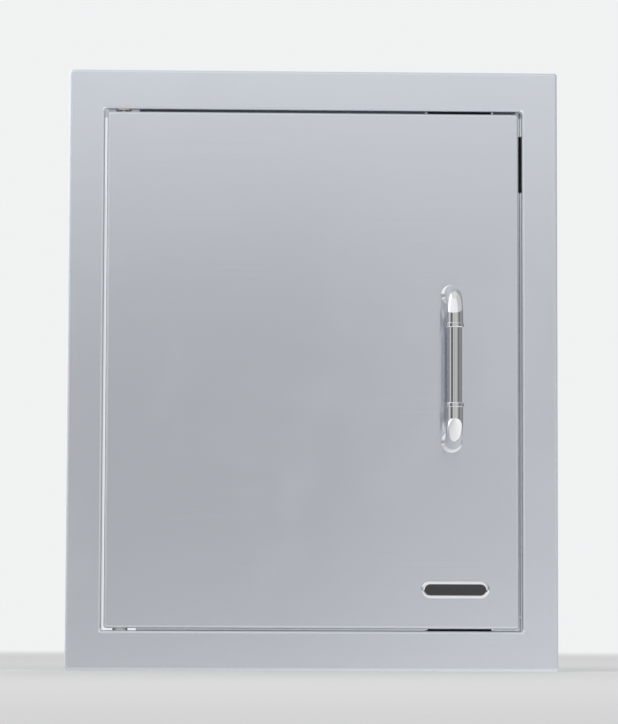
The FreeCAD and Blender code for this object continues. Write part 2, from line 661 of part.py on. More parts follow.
def pin_carrier():
    """The bracket inside the leaf that guides the sprung pin."""
    left = DOOR_LEFT + DOOR_SHEET
    right = PIVOT_X + CARRIER_REACH
    back = LIP_FRONT_Y - CARRIER_BACK_GAP
    body = box(left, left + CARRIER_SHEET, SKIN_INNER_Y, back, LOWER_LEG_Z - CARRIER_FOOT,
               UPPER_LEG_Z + CARRIER_SHEET)
    for z in (LOWER_LEG_Z, UPPER_LEG_Z):
        body = body.fuse(box(left, right, SKIN_INNER_Y, back, z, z + CARRIER_SHEET))
    bore = pivot_rod(PIN_RADIUS + RUNNING_CLEARANCE, LOWER_LEG_Z - PAST, UPPER_LEG_Z + 2 * PAST)
    return body.removeSplitter().cut(bore)


def socket_carrier():
    """The bracket inside the leaf that backs the lower bush."""
    left = DOOR_LEFT + DOOR_SHEET
    floor = DOOR_BOTTOM + DOOR_SHEET
    shelf = floor + SOCKET_SHELF
    back = LIP_FRONT_Y - CARRIER_BACK_GAP
    body = box(left, left + CARRIER_SHEET, SKIN_INNER_Y, back, floor + SOCKET_WEB_START,
               shelf + SOCKET_WEB_RISE)
    body = body.fuse(box(left, PIVOT_X + CARRIER_REACH, SKIN_INNER_Y, back, shelf, shelf + CARRIER_SHEET))
    return body.removeSplitter().cut(pivot_rod(BUSH_RADIUS, shelf - PAST, shelf + 2 * PAST))


def bottom_bush():
    """The lower pivot's plastic bush in the leaf."""
    top = DOOR_BOTTOM + DOOR_SHEET + SOCKET_SHELF + CARRIER_SHEET + BUSH_STAND
    body = pivot_rod(BUSH_RADIUS, DOOR_BOTTOM, top)
    return body.cut(pivot_rod(PIN_RADIUS + RUNNING_CLEARANCE, DOOR_BOTTOM - PAST, top + PAST))


def sprung_pin():
    """The upper pivot: a pin that slides down in the leaf to free it from the frame."""
    top = DOUBLER_END_Z + PIN_RISE
    pin = pivot_rod(PIN_RADIUS, LEVER_Z - PIN_TAIL, top)
    pin = pin.makeFillet(PIN_NOSE, [edge for edge in pin.Edges if edge.BoundBox.ZMin > top - 0.1])
    return pin.cut(rod(LEVER_RADIUS, (PIVOT_X, PIVOT_Y, LEVER_Z), (PIVOT_X, DOOR_BACK_Y, LEVER_Z)))


def pin_collar():
    """The collar on the sprung pin that its spring pushes up against the upper guide leg."""
    body = pivot_rod(COLLAR_RADIUS, COLLAR_TOP_Z - COLLAR_HEIGHT, COLLAR_TOP_Z)
    return body.cut(pivot_rod(PIN_RADIUS, COLLAR_TOP_Z - COLLAR_HEIGHT - PAST, COLLAR_TOP_Z + PAST))


def pin_lever():
    """The finger lever on the sprung pin, out through the slot in the liner."""
    inner = DOOR_BACK_Y + KNOB_STANDOFF
    outer = inner + KNOB_LENGTH
    stem = rod(LEVER_RADIUS, (PIVOT_X, PIVOT_Y, LEVER_Z), (PIVOT_X, inner + 1, LEVER_Z))
    knob = rod(KNOB_RADIUS, (PIVOT_X, inner, LEVER_Z), (PIVOT_X, outer, LEVER_Z))
    return stem.fuse(knob.makeFillet(KNOB_EDGE, edges_at(knob, outer)))


def pin_spring():
    """The coil spring between the lower guide leg and the collar."""
    return coil(LOWER_LEG_Z + CARRIER_SHEET, COLLAR_TOP_Z - COLLAR_HEIGHT)


def handle_tube():
    """The straight steel grip."""
    reach = GRIP_VISIBLE / 2 + GRIP_INSERT
    return tube(GRIP_RADIUS, GRIP_RADIUS - GRIP_WALL, (HANDLE_X, GRIP_Y, HANDLE_Z - reach),
                (HANDLE_X, GRIP_Y, HANDLE_Z + reach))


def handle_elbow():
    """The upper cast end: a flanged leg that bends down into a beaded sleeve for the grip."""
    leg_z = LEG_ZS[0]
    bend_y = GRIP_Y + ELBOW_BEND
    bend_z = leg_z - ELBOW_BEND
    end_z = HANDLE_Z + GRIP_VISIBLE / 2
    leg = rod(ELBOW_RADIUS, (HANDLE_X, FACE_Y, leg_z), (HANDLE_X, bend_y, leg_z))
    circle = Part.Circle(Vector(HANDLE_X, bend_y, leg_z), Vector(0, 1, 0), ELBOW_RADIUS)
    disc = Part.Face(Part.Wire([circle.toShape()]))
    bend = disc.revolve(Vector(HANDLE_X, bend_y, bend_z), Vector(1, 0, 0), 90)
    sleeve = rod(ELBOW_RADIUS, (HANDLE_X, GRIP_Y, bend_z), (HANDLE_X, GRIP_Y, end_z))
    bead = rod(BEAD_RADIUS, (HANDLE_X, GRIP_Y, end_z), (HANDLE_X, GRIP_Y, end_z + BEAD_WIDTH))
    bead = bead.makeFillet(BEAD_EDGE, [edge for edge in bead.Edges if edge.BoundBox.ZLength < 0.1])
    flange = rod(FLANGE_RADIUS, (HANDLE_X, FACE_Y, leg_z), (HANDLE_X, FACE_Y - FLANGE_THICKNESS, leg_z))
    flange = flange.makeFillet(FLANGE_EDGE, edges_at(flange, FACE_Y - FLANGE_THICKNESS))
    body = leg.fuse([bend, sleeve, bead, flange]).removeSplitter()
    bore = rod(GRIP_RADIUS, (HANDLE_X, GRIP_Y, end_z - PAST), (HANDLE_X, GRIP_Y, end_z + GRIP_INSERT))
    thread = rod(THREAD_RADIUS, (HANDLE_X, FACE_Y + PAST, leg_z), (HANDLE_X, FACE_Y - THREAD_DEPTH, leg_z))
    return body.cut([bore, thread])


def handle_elbow_bottom():
    """The lower cast end, the same piece turned over."""
    return handle_elbow().mirror(Vector(HANDLE_X, 0, HANDLE_Z), Vector(0, 0, 1))


def handle_stiffener():
    """The channel behind the face that spreads the handle's pull."""
    low = LEG_ZS[1] - STIFFENER_OVERHANG
    high = LEG_ZS[0] + STIFFENER_OVERHANG
    half = STIFFENER_HALF_WIDTH
    bend = half - STIFFENER_SHEET
    body = box(HANDLE_X - half, HANDLE_X + half, SKIN_INNER_Y, SKIN_INNER_Y + STIFFENER_HEIGHT, low, high)
    body = body.cut(box(HANDLE_X - bend, HANDLE_X + bend, SKIN_INNER_Y + STIFFENER_SHEET,
                        SKIN_INNER_Y + STIFFENER_HEIGHT + PAST, low - PAST, high + PAST))
    for z in LEG_ZS:
        body = body.cut(rod(HANDLE_HOLE_RADIUS, (HANDLE_X, SKIN_INNER_Y - PAST, z),
                            (HANDLE_X, SKIN_INNER_Y + 2 * PAST, z)))
    return body


def handle_washers():
    """The washers under the handle's screw heads."""
    y = SKIN_INNER_Y + STIFFENER_SHEET
    group = []
    for z in LEG_ZS:
        group.append(tube(WASHER_RADIUS, WASHER_HOLE_RADIUS, (HANDLE_X, y, z),
                          (HANDLE_X, y + WASHER_THICKNESS, z)))
    return Part.makeCompound(group)


def handle_screws():
    """The two screws that hold the handle from inside the leaf."""
    y = SKIN_INNER_Y + STIFFENER_SHEET + WASHER_THICKNESS
    group = []
    for z in LEG_ZS:
        group.append(screw((HANDLE_X, y, z), (0, -1, 0), HANDLE_SCREW_HEAD, THREAD_RADIUS, THREAD_DEPTH))
    return Part.makeCompound(group)


def badge_plate():
    """The bare oval plate low on the face, with a domed rim round a sunk field."""
    body = capsule(BADGE_LENGTH, BADGE_HEIGHT, BADGE_FRONT_Y, BADGE_BACK_Y, BADGE_X, BADGE_Z)
    body = body.makeFillet(BADGE_EDGE, edges_at(body, BADGE_FRONT_Y))
    return body.cut(capsule(BADGE_LENGTH - 2 * BADGE_RIM, BADGE_HEIGHT - 2 * BADGE_RIM,
                            BADGE_FRONT_Y - PAST, BADGE_FRONT_Y + BADGE_RECESS, BADGE_X, BADGE_Z))


def badge_inlay():
    """The dark field of the oval plate."""
    floor = BADGE_FRONT_Y + BADGE_RECESS
    return capsule(BADGE_LENGTH - 2 * BADGE_RIM, BADGE_HEIGHT - 2 * BADGE_RIM, floor - INLAY_THICKNESS,
                   floor, BADGE_X, BADGE_Z)


def badge_pad():
    """The adhesive pad behind the oval plate."""
    return capsule(BADGE_LENGTH - 2 * PAD_MARGIN, BADGE_HEIGHT - 2 * PAD_MARGIN, BADGE_BACK_Y, FACE_Y,
                   BADGE_X, BADGE_Z)


nodes = {
    "face_frame": face_frame(),
    "stop_rail_top": stop_rail_end(),
    "stop_rail_bottom": mirrored(stop_rail_end()),
    "stop_rail_latch": stop_rail_latch(),
    "latch_bumper": latch_bumper(),
    "hinge_doubler_top": hinge_doubler(BUSH_RADIUS),
    "hinge_doubler_bottom": mirrored(hinge_doubler(PIN_RADIUS)),
    "top_bush": top_bush(),
    "bottom_pivot_pin": bottom_pivot_pin(),
    "thrust_washer": thrust_washer(),
    "catch_case_top": catch_case(),
    "catch_case_bottom": mirrored(catch_case()),
    "catch_poles_top": catch_poles(),
    "catch_poles_bottom": mirrored(catch_poles()),
    "catch_magnet_top": catch_magnet(),
    "catch_magnet_bottom": mirrored(catch_magnet()),
    "catch_screws_top": catch_screws(),
    "catch_screws_bottom": mirrored(catch_screws()),
    "door_skin": door_skin(),
    "door_liner": door_liner(),
    "liner_rivets": liner_rivets(),
    "strike_plate_top": strike_plate(),
    "strike_plate_bottom": mirrored(strike_plate()),
    "strike_rivets_top": strike_rivets(),
    "strike_rivets_bottom": mirrored(strike_rivets()),
    "access_plugs": access_plugs(),
    "pin_carrier": pin_carrier(),
    "socket_carrier": socket_carrier(),
    "bottom_bush": bottom_bush(),
    "pin_spring": pin_spring(),
    "handle_tube": handle_tube(),
    "handle_elbow_top": handle_elbow(),
    "handle_elbow_bottom": handle_elbow_bottom(),
    "handle_stiffener": handle_stiffener(),
    "handle_washers": handle_washers(),
    "handle_screws": handle_screws(),
    "badge_plate": badge_plate(),
    "badge_inlay": badge_inlay(),
    "badge_pad": badge_pad(),
    "sprung_pin": sprung_pin(),
    "pin_collar": pin_collar(),
    "pin_lever": pin_lever(),
}

os.makedirs("parts", exist_ok=True)
for name, shape in nodes.items():
    if not shape.isValid():
        print("not valid:", name)
    shape.exportStep("parts/" + name + ".step")
    print(name, len(shape.Solids), "solid(s),", round(shape.Volume / 1000, 2), "cm3")
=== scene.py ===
import json
import math

import bmesh
import bpy
from bpy.props import FloatProperty, FloatVectorProperty, IntProperty, PointerProperty
from mathutils import Matrix, Vector


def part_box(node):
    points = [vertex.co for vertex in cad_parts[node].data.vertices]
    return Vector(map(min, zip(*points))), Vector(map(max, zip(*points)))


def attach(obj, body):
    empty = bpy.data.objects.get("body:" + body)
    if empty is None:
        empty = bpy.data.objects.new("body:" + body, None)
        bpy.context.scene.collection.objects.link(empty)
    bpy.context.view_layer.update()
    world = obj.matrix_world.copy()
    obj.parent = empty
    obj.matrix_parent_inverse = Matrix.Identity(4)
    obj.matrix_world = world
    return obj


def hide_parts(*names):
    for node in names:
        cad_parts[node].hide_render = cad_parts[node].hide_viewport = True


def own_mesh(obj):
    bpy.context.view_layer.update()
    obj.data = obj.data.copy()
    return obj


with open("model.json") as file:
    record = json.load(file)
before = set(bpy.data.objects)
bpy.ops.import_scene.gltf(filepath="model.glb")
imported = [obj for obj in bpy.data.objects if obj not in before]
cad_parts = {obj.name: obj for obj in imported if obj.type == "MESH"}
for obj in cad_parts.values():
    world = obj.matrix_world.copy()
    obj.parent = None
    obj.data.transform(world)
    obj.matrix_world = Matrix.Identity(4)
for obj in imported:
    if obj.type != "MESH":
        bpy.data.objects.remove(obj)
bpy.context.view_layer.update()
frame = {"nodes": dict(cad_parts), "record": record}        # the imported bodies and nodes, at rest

bl_info = {
    "name": "Island Access Door",
    "version": (1, 0, 0),
    "blender": (4, 5, 0),
    "location": "View3D > Sidebar > Access Door",
    "description": "Finishes the pieces of a flush stainless access door round its packed frame",
    "category": "Add Mesh",
}

# Everything is in metres: X to the right, Y into the island, Z up.
MM = 0.001


def middle_of(node):
    """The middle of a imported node's box."""
    return [(low + high) / 2 for low, high in zip(*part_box(node))]


def half_of(node):
    """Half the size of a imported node's box."""
    return [(high - low) / 2 for low, high in zip(*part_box(node))]


def height_of(node):
    """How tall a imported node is."""
    low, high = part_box(node)
    return high.z - low.z


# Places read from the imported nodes
FACE_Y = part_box("face_frame")[0].y
SLEEVE_END_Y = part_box("face_frame")[1].y
FRAME_HALF_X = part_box("face_frame")[1].x
FRAME_HALF_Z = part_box("face_frame")[1].z
SKIN_LOW, SKIN_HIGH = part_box("door_skin")
DOOR_X, DOOR_Z = middle_of("door_skin")[::2]
DOOR_HALF_X, DOOR_HALF_Z = half_of("door_skin")[::2]
DOOR_BACK_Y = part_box("door_liner")[1].y
LIP_BACK_Y = SKIN_HIGH.y
PIVOT_X, PIVOT_Y = middle_of("pin_collar")[:2]
GRIP_X, GRIP_Y, GRIP_Z = middle_of("handle_tube")
FLOOR_Z = -FRAME_HALF_Z

# How far each of the handle's feet stands from the grip's middle
LEG_REACH = 64 * MM

# Half the opening's width and height, and the radius of the sheets' folded corners
WALL_X = 181.5 * MM
WALL_Z = 226 * MM
FOLD_CORNER = 2.5 * MM

# The pin's lever and the middle of the slot that it runs down
LEVER_TRAVEL = 9 * MM
LEVER_Z = SKIN_HIGH.z - 59 * MM
LEVER_SLOT_Z = LEVER_Z - LEVER_TRAVEL / 2

# Directions
UP, DOWN, INWARD, OUTWARD = (0, 0, 1), (0, 0, -1), (0, 1, 0), (0, -1, 0)

# The camera that took the view, solved from the frame's four corners
CAMERA_PLACE = (-0.0971, -2.8983, -0.2312)
CAMERA_TURN = (94.701, -0.194, -1.876)
CAMERA_LENS = 166.18

BODY_OF = {node: body for body, nodes in frame["record"]["behaviour"]["bodies"].items() for node in nodes}


def measure(label, words, value):
    """A length property with a short label."""
    return FloatProperty(name=label, description=words, default=value, unit="LENGTH", precision=5)


class DoorSizes(bpy.types.PropertyGroup):
    """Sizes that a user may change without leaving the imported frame."""
    frame_sheet: measure("Frame sheet", "Thickness of the face frame's steel", 1.2 * MM)
    door_sheet: measure("Door sheet", "Thickness of the leaf's outer steel", 1.0 * MM)
    bend: measure("Bend radius", "Outer radius of the folded steel edges", 2.3 * MM)
    press: measure("Press radius", "Radius round the liner's pressed middle", 2.2 * MM)
    edge: measure("Broken edge", "Width of the small bevels on cut edges", 0.2 * MM)
    thread_pitch: measure("Thread pitch", "Distance between a screw's threads", 0.9 * MM)
    spring_turns: IntProperty(name="Spring turns", description="Turns in the pivot pin's spring",
                              default=9, min=3, max=24)
    round_steps: IntProperty(name="Round steps", description="Sides of a turned piece",
                             default=48, min=12, max=128)


def colour(label, words, value):
    """A colour property with a short label."""
    return FloatVectorProperty(name=label, description=words, default=value, size=3, subtype="COLOR",
                               min=0, max=1)


class DoorColours(bpy.types.PropertyGroup):
    """Colours of the finishes and of the studio."""
    face_steel: colour("Frame steel", "Brushed stainless steel of the face frame", (0.605, 0.635, 0.68))
    door_steel: colour("Door steel", "Brushed stainless steel of the leaf", (0.585, 0.613, 0.657))
    rail_steel: colour("Rail steel", "Mill-finish steel of the stop rails", (0.73, 0.75, 0.78))
    inner_steel: colour("Plated steel", "Dull zinc on the hidden brackets", (0.50, 0.51, 0.52))
    fastener_steel: colour("Fasteners", "Bright zinc on screws, rivets and pins", (0.62, 0.63, 0.64))
    grip_steel: colour("Grip", "Polished stainless tube of the handle", (0.66, 0.67, 0.69))
    bright_chrome: colour("Chrome", "Mirror chrome of the handle's ends and the badge", (0.74, 0.75, 0.76))
    catch_plastic: colour("Catch body", "Dark moulded plastic", (0.05, 0.05, 0.053))
    plug_plastic: colour("Plugs", "Dark satin plastic", (0.05, 0.05, 0.055))
    bush_nylon: colour("Bushes", "Natural nylon", (0.74, 0.71, 0.62))
    bumper_rubber: colour("Bumper", "Grey rubber", (0.2, 0.2, 0.203))
    magnet_ferrite: colour("Magnets", "Sintered ferrite", (0.05, 0.05, 0.055))
    badge_field: colour("Badge field", "Dark smooth enamel", (0.012, 0.013, 0.016))
    pad_foam: colour("Pad", "Foam tape behind the badge", (0.06, 0.06, 0.06))
    floor: colour("Floor", "Pale studio floor", (0.84, 0.84, 0.84))
    backdrop: colour("Backdrop", "Pale surroundings", (0.88, 0.885, 0.89))


def sizes():
    return bpy.context.scene.access_door_sizes


def colours():
    return bpy.context.scene.access_door_colours


# Outlines and shells

def soften(corners, closed=False, steps=5):
    """Rounds the corners of a run of (point, radius). Distances are read on a point's ends."""
    made = []
    last = len(corners) - 1
    for index, (corner, radius) in enumerate(corners):
        corner = Vector(corner)
        if radius == 0 or (index in (0, last) and not closed):
            made.append(corner)
            continue
        back = Vector(corners[index - 1][0]) - corner
        ahead = Vector(corners[(index + 1) % len(corners)][0]) - corner
        back *= radius / math.hypot(back[0], back[-1])
        ahead *= radius / math.hypot(ahead[0], ahead[-1])
        for step in range(steps + 1):
            turn = math.radians(90 * step / steps)
            made.append(corner + back * (1 - math.sin(turn)) + ahead * (1 - math.cos(turn)))
    return made


def panel_loop(half_x, half_z, radius, y, centre_x, centre_z, steps=6):
    """The points round a rectangle with round corners, square to Y."""
    points = []
    for turn in range(4):
        side = 1 if turn in (0, 3) else -1
        rise = 1 if turn in (0, 1) else -1
        for step in range(steps + 1):
            angle = math.radians(90 * (turn + step / steps))
            points.append(Vector((centre_x + side * (half_x - radius) + radius * math.cos(angle), y,
                                  centre_z + rise * (half_z - radius) + radius * math.sin(angle))))
    return points


def loft(name, loops, ring=False):
    """A closed shell through loops of equal count, joined end to start or capped at both ends."""
    shell = bmesh.new()
    rows = [[shell.verts.new(point) for point in loop] for loop in loops]
    pairs = list(zip(rows, rows[1:]))
    if ring:
        pairs.append((rows[-1], rows[0]))
    for low, high in pairs:
        for index in range(len(low)):
            following = (index + 1) % len(low)
            shell.faces.new((low[index], low[following], high[following], high[index]))
    if not ring:
        for row in (rows[0], rows[-1]):
            if (row[0].co - row[len(row) // 2].co).length > 1e-6:
                shell.faces.new(row)
    bmesh.ops.remove_doubles(shell, verts=shell.verts, dist=1e-7)
    bmesh.ops.recalc_face_normals(shell, faces=shell.faces)
    return as_piece(name, shell)


def as_piece(name, shell):
    """A new object in the scene from a bmesh."""
    mesh = bpy.data.meshes.new(name)
    shell.to_mesh(mesh)
    shell.free()
    piece = bpy.data.objects.new(name, mesh)
    bpy.context.scene.collection.objects.link(piece)
    return piece


def pressed(name, corners, centre_x, centre_z, closed=False, steps=5):
    """A shell of rounded rectangles from corners given as ((half x, half z, radius, y), softness)."""
    loops = [panel_loop(*place, centre_x, centre_z) for place in soften(corners, closed, steps)]
    return loft(name, loops, ring=closed)


def angles_round(sides):
    """The angles of points spaced evenly round a circle."""
    return [2 * math.pi * side / sides for side in range(sides)]


def turned(name, corners, place, axis, closed=False, steps=4, sides=None):
    """A lathe piece from corners given as ((height, radius), softness) along an axis from a place."""
    sides = sides or sizes().round_steps
    turn = Vector(axis).to_track_quat("Z", "Y")
    start = Vector(place)
    loops = [[start + turn @ Vector((radius * math.cos(angle), radius * math.sin(angle), height))
              for angle in angles_round(sides)]
             for height, radius in soften(corners, closed, steps)]
    return loft(name, loops, ring=closed)


def join(name, pieces):
    """One object from several, with its place in its mesh."""
    shell = bmesh.new()
    for piece in pieces:
        shell.from_mesh(piece.data)
        bpy.data.objects.remove(piece)
    return as_piece(name, shell)


def plain(piece):
    """Makes a piece's modifiers part of its mesh."""
    bpy.context.view_layer.update()
    evaluated = piece.evaluated_get(bpy.context.evaluated_depsgraph_get())
    mesh = bpy.data.meshes.new_from_object(evaluated)
    piece.modifiers.clear()
    piece.data = mesh
    mesh.name = piece.name
    return piece


def cut(piece, cutters):
    """Takes the cutters' space out of a piece, and removes the cutters."""
    tool = join("cutters", cutters)
    step = piece.modifiers.new("Cut", "BOOLEAN")
    step.operation = "DIFFERENCE"
    step.solver = "EXACT"
    step.object = tool
    plain(piece)
    bpy.data.objects.remove(tool)
    return piece


def drill(place, axis, radius, depth, sides=32):
    """A cutter: a round bar from a place along an axis."""
    return turned("drill", [((0, radius), 0), ((depth, radius), 0)], place, axis, sides=sides)


def slot_cutter(width, height, from_y, to_y, x, z):
    """A cutter: a slot with round ends, along Y."""
    nearly_round = 0.999
    radius = min(width, height) / 2 * nearly_round
    corners = [((width / 2, height / 2, radius, y), 0) for y in (from_y, to_y)]
    return pressed("slot", corners, x, z)


def brush_map(mesh):
    """A UV map in metres whose U runs across the brushing and V along it."""
    layer = mesh.uv_layers.new(name="brush")
    for face in mesh.polygons:
        upright = Vector((0, 0, 1)) if abs(face.normal.z) < 0.95 else Vector((0, 1, 0))
        across = (upright - face.normal * upright.dot(face.normal)).normalized()
        along = face.normal.cross(across)
        for corner in face.loop_indices:
            place = mesh.vertices[mesh.loops[corner].vertex_index].co
            layer.data[corner].uv = (place.dot(across), place.dot(along))


# How far a face is turned off the flats before it counts wholly as a fold
FOLD_STARTS = math.radians(16)


def mark_folds(mesh):
    """An attribute that is 1 on rounded folds and 0 on the flats between them, read by the steel for
    roughness and a painted highlight.
    """
    marks = mesh.attributes.new("fold", "FLOAT", "FACE")
    for face in mesh.polygons:
        turned_away = math.acos(min(1, max(abs(part) for part in face.normal)))
        marks.data[face.index].value = min(1, turned_away / FOLD_STARTS)


def settle(piece, nodes, slot, sharp=32, bevel=0.0):
    """Shades a piece, gives it its finish, and puts it on its body in place of its nodes."""
    if bevel:
        step = piece.modifiers.new("Broken edges", "BEVEL")
        step.width = bevel
        step.segments = 2
        step.limit_method = "ANGLE"
        step.angle_limit = math.radians(30)
        step.use_clamp_overlap = True
        plain(piece)
    mesh = piece.data
    mesh.polygons.foreach_set("use_smooth", [True] * len(mesh.polygons))
    mesh.set_sharp_from_angle(angle=math.radians(sharp))
    step = piece.modifiers.new("Weighted normals", "WEIGHTED_NORMAL")
    step.keep_sharp = True
    plain(piece)
    brush_map(piece.data)
    mark_folds(piece.data)
    piece.data.materials.clear()
    piece.data.materials.append(finish(slot))
    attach(piece, BODY_OF[nodes[0]])
    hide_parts(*nodes)
    return piece


def dressed(node, slot, bevel=None):
    """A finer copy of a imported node: its mesh merged, its cut edges broken."""
    shell = bmesh.new()
    shell.from_mesh(frame["nodes"][node].data)
    bmesh.ops.remove_doubles(shell, verts=shell.verts, dist=2e-6)
    flat = math.radians(1)
    bmesh.ops.dissolve_limit(shell, angle_limit=flat, verts=shell.verts, edges=shell.edges)
    piece = as_piece(node + "_piece", shell)
    return settle(piece, [node], slot, bevel=sizes().edge if bevel is None else bevel)


# Node trees

FLOAT = "NodeSocketFloat"


def add(tree, kind, settings=None, inputs=None):
    """Adds a node. An input may be a value or another node's output."""
    made = tree.nodes.new(kind)
    for name, value in (settings or {}).items():
        setattr(made, name, value)
    for name, value in (inputs or {}).items():
        if isinstance(value, bpy.types.NodeSocket):
            tree.links.new(value, made.inputs[name])
        else:
            made.inputs[name].default_value = value
    return made


def maths(tree, operation, first, second=0.0, third=0.0):
    """A Math node's result."""
    return add(tree, "ShaderNodeMath", {"operation": operation},
               {0: first, 1: second, 2: third}).outputs[0]


def times(tree, first, second):
    """Two values multiplied."""
    return maths(tree, "MULTIPLY", first, second)


def vector(tree, x=0.0, y=0.0, z=0.0):
    """A vector from three values."""
    return add(tree, "ShaderNodeCombineXYZ", inputs={0: x, 1: y, 2: z}).outputs[0]


def parts_of(tree, value):
    """A vector's three values."""
    return add(tree, "ShaderNodeSeparateXYZ", inputs={0: value}).outputs


def spread(tree, value, low, high, to_low=0.0, to_high=1.0, smooth=False):
    """A value's range between two levels spread over another range, held at its ends."""
    return add(tree, "ShaderNodeMapRange", {"interpolation_type": "SMOOTHSTEP" if smooth else "LINEAR"}, {
        "Value": value, "From Min": low, "From Max": high,
        "To Min": to_low, "To Max": to_high}).outputs["Result"]


def ramp(tree, value, stops):
    """A Color Ramp from (position, grey) stops."""
    made = add(tree, "ShaderNodeValToRGB", inputs={"Fac": value})
    elements = made.color_ramp.elements
    while len(elements) < len(stops):
        elements.new(0.5)
    for element, (position, grey) in zip(elements, stops):
        element.position = position
        element.color = (grey, grey, grey, 1)
    return made.outputs["Color"]


def object_place(tree):
    """The point's place in the object's own coordinates."""
    return add(tree, "ShaderNodeTexCoord").outputs["Object"]


def bare_material(name):
    """A material with an empty node tree."""
    made = bpy.data.materials.new(name)
    made.use_nodes = True
    made.node_tree.nodes.clear()
    return made, made.node_tree


def shader_group(name, inputs, outputs):
    """An empty shader group with its sockets, its input node and its output node."""
    tree = bpy.data.node_groups.new(name, "ShaderNodeTree")
    for label, kind, value in inputs:
        socket = tree.interface.new_socket(label, in_out="INPUT", socket_type=kind)
        if value is not None:
            socket.default_value = value
    for label, kind in outputs:
        tree.interface.new_socket(label, in_out="OUTPUT", socket_type=kind)
    return tree, tree.nodes.new("NodeGroupInput"), tree.nodes.new("NodeGroupOutput")


def brushed_grain(name):
    """Fine lines of a belt-brushed sheet: a tone round 1 and a height."""
    tree, given, out = shader_group(
        name,
        [("Surface", "NodeSocketVector", None), ("Lines per metre", FLOAT, 3200.0),
         ("Streaks per metre", FLOAT, 14.0), ("Depth", FLOAT, 0.02)],
        [("Tone", FLOAT), ("Height", FLOAT)])
    parts = parts_of(tree, given.outputs["Surface"])
    bands = []
    for thinning, stretch in ((1.0, 1.0), (0.22, 0.4)):
        across = times(tree, given.outputs["Lines per metre"], thinning)
        along = times(tree, given.outputs["Streaks per metre"], stretch)
        place = vector(tree, times(tree, parts[0], across), times(tree, parts[1], along))
        noise = add(tree, "ShaderNodeTexNoise", inputs={
            "Vector": place, "Scale": 1.0, "Detail": 2.0, "Roughness": 0.6})
        bands.append(noise.outputs["Fac"])
    both = maths(tree, "MULTIPLY_ADD", bands[1], 0.8, times(tree, bands[0], 0.4))
    centred = maths(tree, "SUBTRACT", both, 0.6)
    tone = maths(tree, "MULTIPLY_ADD", centred, times(tree, given.outputs["Depth"], 4.0), 1.0)
    tree.links.new(tone, out.inputs["Tone"])
    tree.links.new(both, out.inputs["Height"])
    return tree


def handling_smears(name):
    """Faint wiped smears on metal: 0 where clean, up to 1 in a smear."""
    tree, given, out = shader_group(
        name, [("Place", "NodeSocketVector", None), ("Scale", FLOAT, 9.0)], [("Smear", FLOAT)])
    broad = add(tree, "ShaderNodeTexNoise", inputs={
        "Vector": given.outputs["Place"], "Scale": given.outputs["Scale"], "Detail": 3.0,
        "Roughness": 0.55, "Distortion": 0.6})
    tree.links.new(spread(tree, broad.outputs["Fac"], 0.45, 0.75, smooth=True), out.inputs["Smear"])
    return tree


def moulded_skin(name):
    """The pebbled skin of a moulded or plated piece: a height and a slow mottle."""
    tree, given, out = shader_group(
        name,
        [("Place", "NodeSocketVector", None), ("Grains per metre", FLOAT, 2600.0),
         ("Patches per metre", FLOAT, 60.0)],
        [("Height", FLOAT), ("Mottle", FLOAT)])
    grains = add(tree, "ShaderNodeTexVoronoi", {"feature": "SMOOTH_F1"}, {
        "Vector": given.outputs["Place"], "Scale": given.outputs["Grains per metre"]})
    patches = add(tree, "ShaderNodeTexNoise", inputs={
        "Vector": given.outputs["Place"], "Scale": given.outputs["Patches per metre"], "Detail": 4.0})
    tree.links.new(grains.outputs["Distance"], out.inputs["Height"])
    tree.links.new(patches.outputs["Fac"], out.inputs["Mottle"])
    return tree


GROUPS = {"Brushed grain": brushed_grain, "Handling smears": handling_smears, "Moulded skin": moulded_skin}


def group(tree, name, inputs):
    """Places a shader group in a material, and builds it when it is first asked for."""
    source = bpy.data.node_groups.get(name) or GROUPS[name](name)
    return add(tree, "ShaderNodeGroup", {"node_tree": source}, inputs)


# How rough a fold is, and how much its colour is lightened over the flats as a painted highlight
FOLD_ROUGHNESS = 0.6
FOLD_PAINTED_HIGHLIGHT = 0.12

# Heights of the relief that the finishes show
METAL_RELIEF = 0.02 * MM
MOULD_RELIEF = 0.05 * MM

# Ends the name of a dressed material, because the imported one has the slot's own name
FINISHED = "_finish"


def new_material(slot, metallic, roughness, **constants):
    """A material with its Principled shader, whose constants are set on its own sockets."""
    made, tree = bare_material(slot + FINISHED)
    shader = add(tree, "ShaderNodeBsdfPrincipled", inputs={
        "Base Color": (*getattr(colours(), slot), 1), "Metallic": metallic, "Roughness": roughness})
    for name, value in constants.items():
        shader.inputs[name.replace("_", " ")].default_value = value
    out = add(tree, "ShaderNodeOutputMaterial", inputs={"Surface": shader.outputs[0]})
    out.is_active_output = True
    return made, tree, shader


def mixed_value(tree, share, first, second):
    """A value between two others."""
    return add(tree, "ShaderNodeMix", inputs={0: share, 2: first, 3: second}).outputs[0]


def tinted(tree, slot, tone):
    """The slot's colour times a tone."""
    made = add(tree, "ShaderNodeMix", {"data_type": "RGBA", "blend_type": "MULTIPLY"})
    made.inputs["Factor"].default_value = 1.0
    made.inputs[6].default_value = (*getattr(colours(), slot), 1)
    tree.links.new(tone, made.inputs[7])
    return made.outputs[2]


def raise_grain(tree, shader, height, distance, strength=1.0):
    """Gives a shader a bump from a height."""
    bump = add(tree, "ShaderNodeBump", inputs={"Strength": strength, "Distance": distance, "Height": height})
    tree.links.new(bump.outputs["Normal"], shader.inputs["Normal"])


